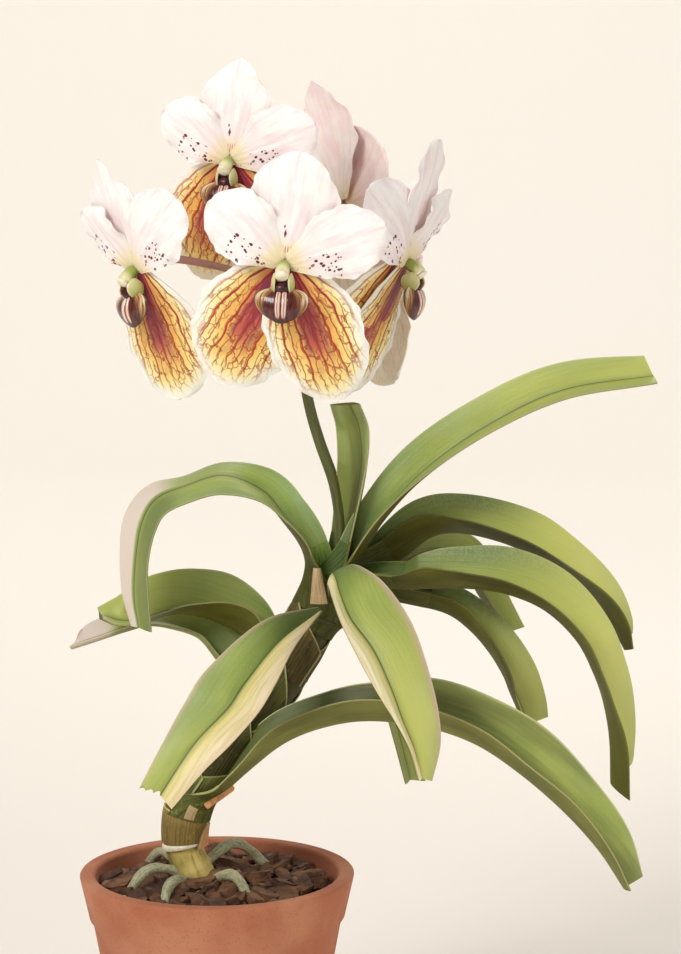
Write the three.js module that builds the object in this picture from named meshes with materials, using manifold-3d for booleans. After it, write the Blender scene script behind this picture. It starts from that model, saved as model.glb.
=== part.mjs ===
// A potted Vanda sanderiana: a leaning orchid with folded strap leaves and six open blooms, in a clay pot.
// Millimetres, +Z up. The origin is the centre of the pot's flat underside, and the plant's front is -Y.

import * as THREE from "three";
import { mergeVertices } from "three/addons/utils/BufferGeometryUtils.js";
import Module from "manifold-3d";

const wasm = await Module();
wasm.setup();

// Driving dimensions
const CLEARANCE = 0.3;
const SLIVER = 0.08;
const MERGE = 1e-4;
const FRONT = new THREE.Vector3(0, -1, 0);

const POT = {
  height: 112, footRadius: 47, rimRadius: 70, rimBand: 22, rimStep: 3,
  wall: 5, floor: 8, bevel: 1.5, sides: 28, drainRadius: 4.5, drainCircle: 28, drains: 4,
};

const BARK = { level: 104, crown: 4, chips: 15, chipLength: 30, chipWidth: 21, chipHeight: 10, seed: 7 };

// The old stem leans out of the bark to the right and carries the leaves on its upper half
const STEM = {
  path: [[-2, 0, 86], [-6, 0, 102], [-14, 0, 117], [-17, 0, 129], [-14, 0, 146], [-2, 0, 165],
    [12, 0, 187], [27, 0, 207], [41, 2, 228], [52, 4, 249], [60, 4, 264]],
  width: [9, 9, 9.5, 10, 10, 11.5, 13, 13.5, 13, 11, 6],
  depth: [9, 9, 9.5, 9.5, 9, 8.5, 8.5, 8.5, 8, 7, 5],
  ringSpacing: 15, ringHeight: 0.9, rows: 16, sides: 8,
};

// Thick aerial roots leave the foot of the stem and dive into the bark: end x, end y, height above it
const ROOTS = {
  radius: 2.8, sides: 5, rows: 6, depth: 14,
  runs: [
    { from: [-15, 0, 126], over: [-38, -14, 128], into: [-47, -20, 98] },
    { from: [-12, 0, 118], over: [-24, -30, 122], into: [-26, -44, 96] },
    { from: [-10, 0, 116], over: [10, -22, 124], into: [21, -37, 96] },
    { from: [-14, 0, 128], over: [8, 16, 134], into: [30, 28, 98] },
    { from: [-14, 0, 121], over: [-30, 22, 124], into: [-40, 34, 98] },
  ],
};

// Each leaf: its keel from the stem outwards, the side it arches to, its flat width, the roll of the blade
// and the fold of its halves in degrees, and how far its two tip lobes run past the keel
const LEAF = {
  keelThickness: 2.4, marginThickness: 1.0, jointAt: 15, notchStart: 0.85, foldSharpness: 0.14,
  bladeColumns: [-1, -0.5, 0, 0.5, 1], footColumns: [-1, 0, 1], footReach: 13, footThicker: 1.3,
};
const CUT_TIP = [0.7, 0.85, 1, 0.95, 0.84, 0.72];
const NARROW_TIP = [0.7, 0.85, 1, 0.93, 0.64, 0.36];
const CLASPING_BASE = [0.4, 0.66, 1, 1, 0.86, 0.74];
const LEAVES = {
  top_right: {
    keel: [[66, 0, 264], [84, -4, 294], [107, -10, 320], [139, -16, 343], [173, -20, 359], [216, -22, 366]],
    side: 1, width: 31, roll: [40, 50, 50], fold: [60, 50, 45, 40],
    lobes: [-5, 2], shape: CUT_TIP, rows: 9,
  },
  upright: {
    keel: [[64, 6, 262], [70, 4, 294], [74, 0, 320], [73, -6, 339], [68, -12, 352]],
    side: 1, width: 27, roll: [55, 55, 60], fold: [60, 50, 45, 40],
    lobes: [3, 1], shape: CUT_TIP, rows: 6,
  },
  right_high: {
    keel: [[73, 10, 258], [95, 8, 274], [113, 6, 284], [129, 4, 286], [153, 2, 279], [173, 0, 267],
      [193, -2, 246], [205, -4, 229]],
    side: 1, width: 34, roll: [22, 26, 34, 10], fold: [70, 62, 60, 60],
    lobes: [3, 1], shape: NARROW_TIP, rows: 11,
  },
  right_mid: {
    keel: [[66, -5, 253], [91, -11, 259], [117, -16, 260], [142, -20, 262], [164, -24, 251], [181, -26, 234],
      [194, -28, 208], [199, -28, 181], [201, -26, 158]],
    side: 1, width: 36, roll: [22, 26, 38, 20], fold: [72, 62, 56, 52],
    lobes: [3, 1], shape: NARROW_TIP, rows: 13,
  },
  right_low: {
    keel: [[68, 2, 247], [95, 2, 249], [113, 0, 247], [133, -4, 233], [147, -6, 216], [153, -6, 195]],
    side: 1, width: 32, roll: [24, 26, 36], fold: [70, 62, 58, 50],
    lobes: [3, 1], shape: NARROW_TIP, rows: 8,
  },
  back_right: {
    keel: [[69, 16, 253], [91, 28, 260], [110, 40, 267], [125, 48, 265], [136, 50, 246], [150, 50, 226]],
    side: 1, width: 28, roll: [28, 28, 38], fold: [70, 60, 54, 50],
    lobes: [3, 1], shape: NARROW_TIP, rows: 7,
  },
  front: {
    keel: [[60, -6, 246], [61, -22, 261], [69, -46, 260], [81, -70, 240], [92, -80, 211], [101, -80, 181]],
    side: 1, width: 42, roll: [50, 40, 34, 40], fold: [60, 48, 40, 36],
    lobes: [4, 2], shape: CLASPING_BASE, rows: 9,
  },
  behind_front: {
    keel: [[62, 14, 246], [75, 18, 228], [85, 20, 202], [92, 20, 178], [98, 18, 155]],
    side: 1, width: 22, roll: [60, 60, 60], fold: [60, 50, 50, 50],
    lobes: [3, 1], shape: CUT_TIP, rows: 6,
  },
  low_right: {
    keel: [[-5, -6, 147], [12, -14, 165], [35, -20, 186], [63, -26, 198], [94, -32, 199], [130, -36, 191],
      [164, -38, 165], [192, -38, 134], [207, -36, 112]],
    side: 1, width: 36, roll: [28, 30, 36, 40], fold: [74, 62, 56, 50],
    lobes: [3, 1], shape: NARROW_TIP, rows: 12,
  },
  left_arch: {
    keel: [[53, 2, 256], [45, 0, 276], [33, -4, 297], [17, -8, 307], [-1, -12, 307], [-16, -14, 300],
      [-25, -14, 282], [-27, -14, 259], [-28, -12, 241]],
    side: -1, width: 34, roll: [32, 36, 36, 24], fold: [70, 60, 54, 48],
    lobes: [1, 3], shape: CUT_TIP, rows: 13,
  },
  left_mid: {
    keel: [[34, 9, 208], [20, 15, 230], [4, 16, 243], [-16, 14, 246], [-34, 10, 244], [-56, 6, 242]],
    side: -1, width: 34, roll: [28, 28, 36], fold: [70, 60, 56, 44],
    lobes: [3, 1], shape: CUT_TIP, rows: 9, footReach: 5,
  },
  left_low: {
    keel: [[23, 9, 187], [9, 20, 211], [-7, 26, 226], [-25, 28, 233], [-45, 28, 232], [-70, 26, 224]],
    side: -1, width: 28, roll: [28, 28, 28], fold: [70, 60, 56, 50],
    lobes: [3, 1], shape: CUT_TIP, rows: 9, footReach: 5,
  },
  front_left: {
    keel: [[52, -8, 240], [44, -28, 244], [30, -54, 228], [10, -74, 204], [-6, -84, 185], [-15, -88, 173]],
    side: -1, width: 42, roll: [60, 60, 60], fold: [62, 36, 26, 24],
    lobes: [2, 5], shape: CLASPING_BASE, rows: 8,
  },
};

// The flower stalk rises from the leaf axils; each bloom hangs from it by its own ribbed stalk
const STALK = {
  path: [[62, 8, 262], [63, 8, 284], [60, 8, 308], [52, 6, 332], [47, 6, 350], [42, 6, 377], [37, 6, 402],
    [33, 8, 427], [30, 10, 449], [27, 8, 463]],
  radius: [3, 3, 2.9, 2.8, 2.7, 2.5, 2.3, 2.1, 1.9, 1.5],
  rows: 13, sides: 7, bloomStalkRadius: 1.6, ovaryRadius: 2.2, bloomStalkRows: 5, bloomStalkSides: 5,
  reach: 20,
  seat: [0, 1.8, -4.4],
};

// Bloom pieces in the bloom's own frame: x right, y up, z out of its face; angles in degrees
const WHITE_BLADE = 1.1;
const SEPAL_BLADE = 1.2;
const DORSAL_OUTLINE = [0.2, 0.46, 0.82, 1.0, 1.0, 0.9, 0.7];
const PETAL_OUTLINE = [0.22, 0.5, 0.82, 1.0, 1.02, 0.98, 0.85];
const LATERAL_OUTLINE = [0.25, 0.7, 0.95, 1.02, 1.0, 0.95, 0.85];
const SEGMENTS = {
  dorsal: {
    angle: 80, length: 53, halfWidth: 23, outline: DORSAL_OUTLINE, pitch: [6, 6, 4, 0, -6],
    cup: -0.1, twist: 0, wave: [1.2, 1.5, 0.1], base: [0, 2, 0], thickness: WHITE_BLADE,
  },
  petal_right: {
    angle: 17, length: 50, halfWidth: 18.5, outline: PETAL_OUTLINE, pitch: [14, 10, 2, -6, -12],
    cup: -0.1, twist: 8, wave: [2.0, 1.6, 0.3], base: [2, 1, 1], thickness: WHITE_BLADE,
  },
  petal_left: {
    angle: 146, length: 46, halfWidth: 18.5, outline: PETAL_OUTLINE, pitch: [14, 10, 2, -6, -12],
    cup: -0.1, twist: -8, wave: [2.0, 1.6, 0.6], base: [-2, 1, 1], thickness: WHITE_BLADE,
  },
  lateral_right: {
    angle: -70, length: 71, halfWidth: 25, outline: LATERAL_OUTLINE, pitch: [-2, -3, -9, -17, -26],
    cup: -0.12, twist: 0, wave: [1.2, 1.2, 0.2], base: [2, -2, -0.5], thickness: SEPAL_BLADE,
  },
  lateral_left: {
    angle: -116, length: 71, halfWidth: 25, outline: LATERAL_OUTLINE, pitch: [-8, -8, -13, -20, -28],
    cup: -0.12, twist: 0, wave: [1.2, 1.2, 0.7], base: [-2, -2, -5], thickness: SEPAL_BLADE,
  },
};
const WHITE_SEGMENTS = ["dorsal", "petal_right", "petal_left"];
const LATERAL_SEGMENTS = ["lateral_right", "lateral_left"];
const BLADE = { rows: 5, columns: 4, tipShare: 0.996, wavePhase: 1.3, steps: 60 };
const HUBS = {
  upper: { centre: [0, 1.6, -1.4], size: [4.6, 3.4, 2.6] },
  lower: { centre: [0, -3.6, -2.6], size: [4.8, 3.6, 3] },
};
const COLUMN = {
  path: [[0, 1.6, 0.8], [0, 1, 3], [0, -2.5, 7.5], [0, -6.5, 10.5]],
  radius: [3.6, 3.8, 4.1, 3.9], rows: 4, sides: 7,
};
const LIP = {
  cup: { centre: [0, -12, 5.5], size: [5.8, 3.4, 6] },
  ear: {
    angle: 90, length: 11.5, halfWidth: 5.2, outline: [0.6, 0.95, 1, 0.8], pitch: [14, 4, -8, -18],
    cup: -0.3, twist: 0, wave: [0, 0, 0], base: [5.5, -13.5, 0], thickness: 1.2, rows: 2, columns: 2,
  },
  earOffset: 5.4,
  plate: {
    angle: -96, length: 20, halfWidth: 13.2,
    outline: [0.6, 0.95, 1.04, 1.04, 0.9], pitch: [60, 42, 12, -12, -26],
    cup: -0.28, twist: 0, wave: [0, 0, 0], base: [0, -11.5, 7], thickness: 2.8, rows: 4,
  },
};
const NODDING_SEPALS = [0, -14, -30, -34, -30];
const BLOOMS = {
  front: {
    at: [36, -48, 422], turn: [0, -4, 0], scale: 1, stalkFrom: 0.79,
    adjust: { lateral_left: { halfWidth: 28, angle: -119 } },
  },
  left: {
    at: [-38, -6, 418], turn: [50, -14, 8], scale: 1, stalkFrom: 0.7,
    adjust: {
      dorsal: { angle: 92, length: 55, halfWidth: 19 },
      petal_left: { angle: 112, length: 38, halfWidth: 14 },
      petal_right: { angle: 34, length: 52, halfWidth: 20, pitch: [10, 4, -8, -16, -20] },
      lateral_right: { angle: -76 },
      lateral_left: { angle: -118 },
    },
  },
  right: {
    at: [95, 4, 421], turn: [-62, -12, 0], scale: 1, stalkFrom: 0.73,
    adjust: {
      dorsal: { angle: 86, length: 61, halfWidth: 19 },
      petal_left: { angle: 138, length: 54, halfWidth: 21, pitch: [8, 0, -14, -26, -30] },
      petal_right: { angle: 66, length: 42, halfWidth: 14 },
      lateral_left: { angle: -112, pitch: [-6, -10, -18, -24, -28] },
    },
  },
  top: {
    at: [9, -16, 471], turn: [18, -4, 0], scale: 0.94, stalkFrom: 0.99,
    adjust: {
      dorsal: { halfWidth: 18.5, length: 52 },
      petal_left: { angle: 140, halfWidth: 16, length: 40 },
      petal_right: { angle: 20, halfWidth: 18.5 },
      lateral_left: { angle: -120, pitch: NODDING_SEPALS },
      lateral_right: { angle: -62, pitch: NODDING_SEPALS },
    },
  },
  back_high: {
    at: [64, 44, 449], turn: [-124, 10, 0], scale: 1, stalkFrom: 0.88,
    adjust: {
      dorsal: { length: 64, halfWidth: 23 },
      petal_right: { angle: 30, halfWidth: 20, length: 44 },
      petal_left: { angle: 142, halfWidth: 20, length: 46 },
    },
  },
  back_low: {
    at: [84, 66, 406], turn: [-118, -6, 0], scale: 0.92, stalkFrom: 0.81,
    adjust: {
      dorsal: { length: 44 },
      petal_left: { angle: 150, length: 40 },
      petal_right: { angle: 24, length: 44 },
      lateral_right: { length: 60 },
      lateral_left: { length: 60 },
    },
  },
};

const FINISHES = {
  clay: new THREE.MeshStandardMaterial({ color: 0xb5643f, roughness: 0.85, metalness: 0 }),
  bark: new THREE.MeshStandardMaterial({ color: 0x6b4a30, roughness: 0.95, metalness: 0 }),
  stem: new THREE.MeshStandardMaterial({ color: 0x7d7440, roughness: 0.75, metalness: 0 }),
  stalk: new THREE.MeshStandardMaterial({ color: 0x5d6a34, roughness: 0.6, metalness: 0 }),
  leaf: new THREE.MeshStandardMaterial({ color: 0x6f8f4a, roughness: 0.45, metalness: 0 }),
  petal: new THREE.MeshStandardMaterial({ color: 0xf7eae8, roughness: 0.6, metalness: 0 }),
  sepal: new THREE.MeshStandardMaterial({ color: 0xd99a3e, roughness: 0.55, metalness: 0 }),
  column: new THREE.MeshStandardMaterial({ color: 0xc6d08a, roughness: 0.4, metalness: 0 }),
  lip: new THREE.MeshStandardMaterial({ color: 0x6e2a22, roughness: 0.3, metalness: 0 }),
};

// Small helpers

function vector(values) {
  return new THREE.Vector3(...values);
}

function radians(degrees) {
  return THREE.MathUtils.degToRad(degrees);
}

function curveThrough(points) {
  return new THREE.CatmullRomCurve3(points.map(vector), false, "catmullrom", 0.5);
}

// A value read from evenly spaced stations, straight between them
function stations(values, share) {
  const place = Math.min(Math.max(share, 0), 1) * (values.length - 1);
  const index = Math.min(Math.floor(place), values.length - 2);
  return values[index] + (values[index + 1] - values[index]) * (place - index);
}

// The same, on a smooth curve through the stations
function smoothStations(values, share) {
  const last = values.length - 1;
  const place = Math.min(Math.max(share, 0), 1) * last;
  const index = Math.min(Math.floor(place), last - 1);
  const f = place - index;
  const before = index > 0 ? values[index - 1] : 2 * values[0] - values[1];
  const after = index < last - 1 ? values[index + 2] : 2 * values[last] - values[last - 1];
  const here = values[index];
  const next = values[index + 1];
  const slope = (next - before) * f;
  const bend = (2 * before - 5 * here + 4 * next - after) * f * f;
  const turn = (3 * here - before - 3 * next + after) * f * f * f;
  return 0.5 * (2 * here + slope + bend + turn);
}

// A seeded random source, the same on every run
function randomSource(seed) {
  let state = seed;
  return () => {
    state = (state * 16807) % 2147483647;
    return state / 2147483647;
  };
}

// Closed solids

function solidFrom(geometry) {
  const bare = geometry.clone();
  bare.deleteAttribute("normal");
  bare.deleteAttribute("uv");
  const merged = mergeVertices(bare, MERGE);
  const mesh = new wasm.Mesh({
    numProp: 3,
    vertProperties: new Float32Array(merged.attributes.position.array),
    triVerts: new Uint32Array(merged.index.array),
  });
  return new wasm.Manifold(mesh);
}

function join(solids) {
  return solids.reduce((total, solid) => total.add(solid));
}

function largestPiece(solid) {
  const pieces = solid.decompose();
  return pieces.reduce((best, piece) => (piece.volume() > best.volume() ? piece : best));
}

function geometryFrom(solid) {
  const mesh = solid.getMesh();
  const geometry = new THREE.BufferGeometry();
  geometry.setAttribute("position", new THREE.BufferAttribute(mesh.vertProperties, 3));
  geometry.setIndex(new THREE.BufferAttribute(mesh.triVerts, 1));
  geometry.computeVertexNormals();
  return geometry;
}

function closedGeometry(corners, triangles) {
  const geometry = new THREE.BufferGeometry();
  const flat = corners.flatMap((corner) => [corner.x, corner.y, corner.z]);
  geometry.setAttribute("position", new THREE.Float32BufferAttribute(flat, 3));
  geometry.setIndex(triangles);
  return geometry;
}

// A thin closed body around a grid of middle points: rows along the blade, columns across it.
// Both faces are split into triangles alike. Extra widens it all round, for a hollow that clears it.
function sheet(grid, halfThickness, extra = 0) {
  const rows = grid.length;
  const columns = grid[0].length;
  const corners = [];
  for (let row = 0; row < rows; row += 1) {
    for (let column = 0; column < columns; column += 1) {
      const below = grid[Math.max(row - 1, 0)][column];
      const above = grid[Math.min(row + 1, rows - 1)][column];
      const left = grid[row][Math.max(column - 1, 0)];
      const right = grid[row][Math.min(column + 1, columns - 1)];
      const along = above.clone().sub(below).normalize();
      const across = right.clone().sub(left).normalize();
      const normal = along.clone().cross(across).normalize();
      const outward = new THREE.Vector3();
      outward.addScaledVector(across, (column === columns - 1) - (column === 0));
      outward.addScaledVector(along, (row === rows - 1) - (row === 0));
      const middle = grid[row][column].clone().addScaledVector(outward, extra);
      const half = halfThickness(row, column) + extra;
      corners.push(middle.clone().addScaledVector(normal, half));
      corners.push(middle.clone().addScaledVector(normal, -half));
    }
  }
  const at = (row, column, face) => (row * columns + column) * 2 + face;
  const triangles = [];
  for (let row = 0; row < rows - 1; row += 1) {
    for (let column = 0; column < columns - 1; column += 1) {
      for (const face of [0, 1]) {
        const a = at(row, column, face);
        const b = at(row + 1, column, face);
        const c = at(row + 1, column + 1, face);
        const d = at(row, column + 1, face);
        triangles.push(...(face === 0 ? [a, b, c, a, c, d] : [a, c, b, a, d, c]));
      }
    }
  }
  const border = [];
  for (let column = 0; column < columns - 1; column += 1) border.push([0, column]);
  for (let row = 0; row < rows - 1; row += 1) border.push([row, columns - 1]);
  for (let column = columns - 1; column > 0; column -= 1) border.push([rows - 1, column]);
  for (let row = rows - 1; row > 0; row -= 1) border.push([row, 0]);
  border.forEach((here, index) => {
    const next = border[(index + 1) % border.length];
    const a = at(...here, 0);
    const b = at(...next, 0);
    const c = at(...next, 1);
    const d = at(...here, 1);
    triangles.push(a, b, c, a, c, d);
  });
  return solidFrom(closedGeometry(corners, triangles));
}

// A closed tube with an oval section: width lies in the plane seen from the front, depth along Y
function tube(curve, width, depth, rowCount, sides, extra = 0) {
  const corners = [];
  for (let row = 0; row <= rowCount; row += 1) {
    const share = row / rowCount;
    const along = curve.getTangentAt(share);
    const centre = curve.getPointAt(share);
    const endPush = ((row === rowCount) - (row === 0)) * extra;
    centre.addScaledVector(along, endPush);
    const toViewer = FRONT.clone().addScaledVector(along, -FRONT.dot(along)).normalize();
    const sideways = toViewer.clone().cross(along);
    for (let side = 0; side < sides; side += 1) {
      const angle = (2 * Math.PI * side) / sides;
      const corner = centre.clone();
      corner.addScaledVector(sideways, Math.cos(angle) * (width(share) + extra));
      corner.addScaledVector(toViewer, Math.sin(angle) * (depth(share) + extra));
      corners.push(corner);
    }
  }
  const triangles = [];
  for (let row = 0; row < rowCount; row += 1) {
    for (let side = 0; side < sides; side += 1) {
      const a = row * sides + side;
      const b = row * sides + ((side + 1) % sides);
      triangles.push(a, b, b + sides, a, b + sides, a + sides);
    }
  }
  const lastRing = rowCount * sides;
  for (let side = 1; side < sides - 1; side += 1) {
    triangles.push(0, side + 1, side);
    triangles.push(lastRing, lastRing + side, lastRing + side + 1);
  }
  return solidFrom(closedGeometry(corners, triangles));
}

// Pot and potting bark

function potProfile() {
  const { height, footRadius, rimRadius, rimBand, rimStep, wall, floor, bevel } = POT;
  const bandFoot = height - rimBand;
  const bodyTop = footRadius + (rimRadius - rimStep - footRadius) * (bandFoot / height);
  return [
    [0, 0],
    [footRadius - bevel, 0],
    [footRadius, bevel],
    [bodyTop, bandFoot - rimStep],
    [bodyTop + rimStep - 1, bandFoot],
    [rimRadius, height - bevel],
    [rimRadius - bevel, height],
    [rimRadius - wall - rimStep + bevel, height],
    [rimRadius - wall - rimStep, height - bevel],
    [footRadius - wall, floor],
    [0, floor],
  ].map(([radius, z]) => new THREE.Vector2(radius, z));
}

// The inner wall's radius at a height
function potInside(z) {
  const top = POT.height - POT.bevel;
  const foot = POT.footRadius - POT.wall;
  const mouth = POT.rimRadius - POT.wall - POT.rimStep;
  return foot + ((mouth - foot) * (z - POT.floor)) / (top - POT.floor);
}

// A turned body stands on its axis, so the profile is turned about Y and tipped up to Z
function turned(profile, sides) {
  const geometry = new THREE.LatheGeometry(profile, sides);
  geometry.rotateX(Math.PI / 2);
  return solidFrom(geometry);
}

function potSolid() {
  let pot = turned(potProfile(), POT.sides);
  for (let hole = 0; hole < POT.drains; hole += 1) {
    const angle = (2 * Math.PI * (hole + 0.5)) / POT.drains;
    const drill = new THREE.CylinderGeometry(POT.drainRadius, POT.drainRadius, POT.floor * 3, 12);
    drill.rotateX(Math.PI / 2);
    drill.translate(Math.cos(angle) * POT.drainCircle, Math.sin(angle) * POT.drainCircle, 0);
    pot = pot.subtract(solidFrom(drill));
  }
  return pot;
}

function barkFill(level, crown) {
  const bottom = POT.floor + CLEARANCE;
  const profile = [[0, bottom], [potInside(bottom) - 2 * CLEARANCE, bottom]];
  profile.push([potInside(level) - 2 * CLEARANCE, level]);
  for (const share of [0.72, 0.4]) {
    profile.push([potInside(level) * share, level + crown * (1 - share * share)]);
  }
  profile.push([0, level + crown]);
  return turned(profile.map(([radius, z]) => new THREE.Vector2(radius, z)), 16);
}

function barkChip(random) {
  const size = (value) => value * (0.65 + 0.6 * random());
  const chip = new THREE.BoxGeometry(size(BARK.chipLength), size(BARK.chipWidth), size(BARK.chipHeight));
  chip.rotateX((random() - 0.5) * 1.1);
  chip.rotateY((random() - 0.5) * 1.1);
  chip.rotateZ(random() * Math.PI * 2);
  return chip;
}

// Chips lie in a sunflower spiral, so they cover the surface evenly
function barkSolid(stemGuard) {
  const random = randomSource(BARK.seed);
  const reach = potInside(BARK.level) - BARK.chipWidth * 0.45;
  const chips = [];
  for (let index = 0; index < BARK.chips; index += 1) {
    const share = Math.sqrt((index + 0.5) / BARK.chips);
    const angle = index * Math.PI * (3 - Math.sqrt(5));
    const chip = barkChip(random);
    const height = BARK.level + BARK.crown * (1 - share * share) - 1 + 2 * random();
    chip.translate(Math.cos(angle) * share * reach, Math.sin(angle) * share * reach, height);
    chips.push(solidFrom(chip));
  }
  const headroom = barkFill(POT.height + BARK.chipHeight, 0);
  const heap = join([barkFill(BARK.level, BARK.crown), ...chips]);
  return largestPiece(heap.intersect(headroom).subtract(stemGuard));
}

// Leaves: a keel with two halves folded up, whose far end is cut into two unequal lobes

function leafRows(leaf, from, to, rowCount, columns) {
  const curve = curveThrough(leaf.keel);
  const length = curve.getLength();
  const fromShare = from / length;
  const toShare = to === null ? 1 : to / length;
  const rows = [];
  for (let row = 0; row <= rowCount; row += 1) {
    rows.push(leafRow(leaf, curve, fromShare + ((toShare - fromShare) * row) / rowCount, columns));
  }
  return rows;
}

function widthShare(shape, share) {
  const places = [0, 0.12, 0.4, 0.75, 0.93, 1];
  const next = places.findIndex((place) => place >= share);
  if (next <= 0) return shape[0];
  const f = (share - places[next - 1]) / (places[next] - places[next - 1]);
  return shape[next - 1] + (shape[next] - shape[next - 1]) * f;
}

function leafRow(leaf, curve, share, columns) {
  const onCurve = Math.min(Math.max(share, 0), 1);
  const along = curve.getTangentAt(onCurve);
  const centre = curve.getPointAt(onCurve).addScaledVector(along, (share - onCurve) * curve.getLength());
  const toViewer = FRONT.clone().addScaledVector(along, -FRONT.dot(along)).normalize();
  const arch = along.clone().cross(toViewer).multiplyScalar(-leaf.side);
  const roll = radians(stations(leaf.roll, share));
  const face = arch.clone().multiplyScalar(Math.cos(roll)).addScaledVector(toViewer, Math.sin(roll));
  const near = toViewer.clone().multiplyScalar(Math.cos(roll)).addScaledVector(arch, -Math.sin(roll));
  const half = (leaf.width / 2) * widthShare(leaf.shape, share);
  const fold = radians(stations(leaf.fold, share));
  const k = LEAF.foldSharpness;
  const endPull = Math.max(0, (share - LEAF.notchStart) / (1 - LEAF.notchStart)) ** 2;
  return columns.map((t) => {
    const rise = (Math.sqrt(t * t + k * k) - k) / (Math.sqrt(1 + k * k) - k);
    const lobe = leaf.lobes[t < 0 ? 0 : 1] * Math.abs(t) ** 0.8 * endPull;
    const point = centre.clone();
    point.addScaledVector(near, half * Math.cos(fold) * t);
    point.addScaledVector(face, half * Math.sin(fold) * rise);
    point.addScaledVector(along, lobe);
    return point;
  });
}

function leafThickness(scale, columns) {
  const { keelThickness, marginThickness } = LEAF;
  return (row, column) => {
    const offKeel = Math.abs(columns[column]);
    return (scale * (keelThickness + (marginThickness - keelThickness) * offKeel)) / 2;
  };
}

function leafBlade(leaf, extra = 0) {
  const columns = LEAF.bladeColumns;
  const rows = leafRows(leaf, LEAF.jointAt, null, leaf.rows, columns);
  return sheet(rows, leafThickness(1, columns), extra);
}

// The clasping foot of a leaf is part of the stem and ends at the joint where the blade can drop off
function leafFoot(leaf, extra = 0) {
  const columns = LEAF.footColumns;
  const start = -(leaf.footReach ?? LEAF.footReach);
  const end = LEAF.jointAt - CLEARANCE * 1.1;
  const rows = leafRows(leaf, start, end, 1, columns);
  return sheet(rows, leafThickness(LEAF.footThicker, columns), extra);
}

// Stem with its leaf feet and roots

function stemRadius(list) {
  const length = curveThrough(STEM.path).getLength();
  return (share) => {
    const ring = Math.cos((2 * Math.PI * share * length) / STEM.ringSpacing);
    return stations(list, share) + STEM.ringHeight * Math.max(0, ring) ** 4;
  };
}

function rootSolid(run, extra) {
  const radius = () => ROOTS.radius;
  const low = [...run.into.slice(0, 2), run.into[2] - ROOTS.depth];
  const curve = curveThrough([run.from, run.over, run.into, low]);
  return tube(curve, radius, radius, ROOTS.rows, ROOTS.sides, extra);
}

function stemSolid(extra = 0) {
  const curve = curveThrough(STEM.path);
  const core = tube(curve, stemRadius(STEM.width), stemRadius(STEM.depth), STEM.rows, STEM.sides, extra);
  const feet = Object.values(LEAVES).map((leaf) => leafFoot(leaf, extra));
  const roots = ROOTS.runs.map((run) => rootSolid(run, extra));
  return join([core, ...feet, ...roots]);
}

// Flower stalk

function bloomFrame(bloom) {
  const [azimuth, elevation, roll] = bloom.turn.map(radians);
  const outward = new THREE.Vector3(
    -Math.sin(azimuth) * Math.cos(elevation),
    -Math.cos(azimuth) * Math.cos(elevation),
    Math.sin(elevation),
  );
  const level = new THREE.Vector3(Math.cos(azimuth), -Math.sin(azimuth), 0);
  const upright = outward.clone().cross(level);
  const right = level.clone().multiplyScalar(Math.cos(roll)).addScaledVector(upright, Math.sin(roll));
  const up = upright.clone().multiplyScalar(Math.cos(roll)).addScaledVector(level, -Math.sin(roll));
  const matrix = new THREE.Matrix4().makeBasis(right, up, outward);
  matrix.scale(new THREE.Vector3(bloom.scale, bloom.scale, bloom.scale));
  matrix.setPosition(vector(bloom.at));
  return matrix;
}

function bloomStalk(bloom, extra) {
  const matrix = bloomFrame(bloom);
  const start = curveThrough(STALK.path).getPointAt(bloom.stalkFrom);
  const seat = vector(STALK.seat).applyMatrix4(matrix);
  const approach = new THREE.Vector3(0, 0, -STALK.reach).applyMatrix4(matrix);
  const lift = start.clone().lerp(approach, 0.4).add(new THREE.Vector3(0, 0, 5));
  const curve = new THREE.CatmullRomCurve3([start, lift, approach, seat], false, "catmullrom", 0.5);
  const radius = (share) => STALK.bloomStalkRadius + (STALK.ovaryRadius - STALK.bloomStalkRadius) * share;
  return tube(curve, radius, radius, STALK.bloomStalkRows, STALK.bloomStalkSides, extra);
}

function stalkSolid(extra = 0) {
  const radius = (share) => stations(STALK.radius, share);
  const main = tube(curveThrough(STALK.path), radius, radius, STALK.rows, STALK.sides, extra);
  return join([main, ...Object.values(BLOOMS).map((bloom) => bloomStalk(bloom, extra))]);
}

// Blooms

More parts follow.
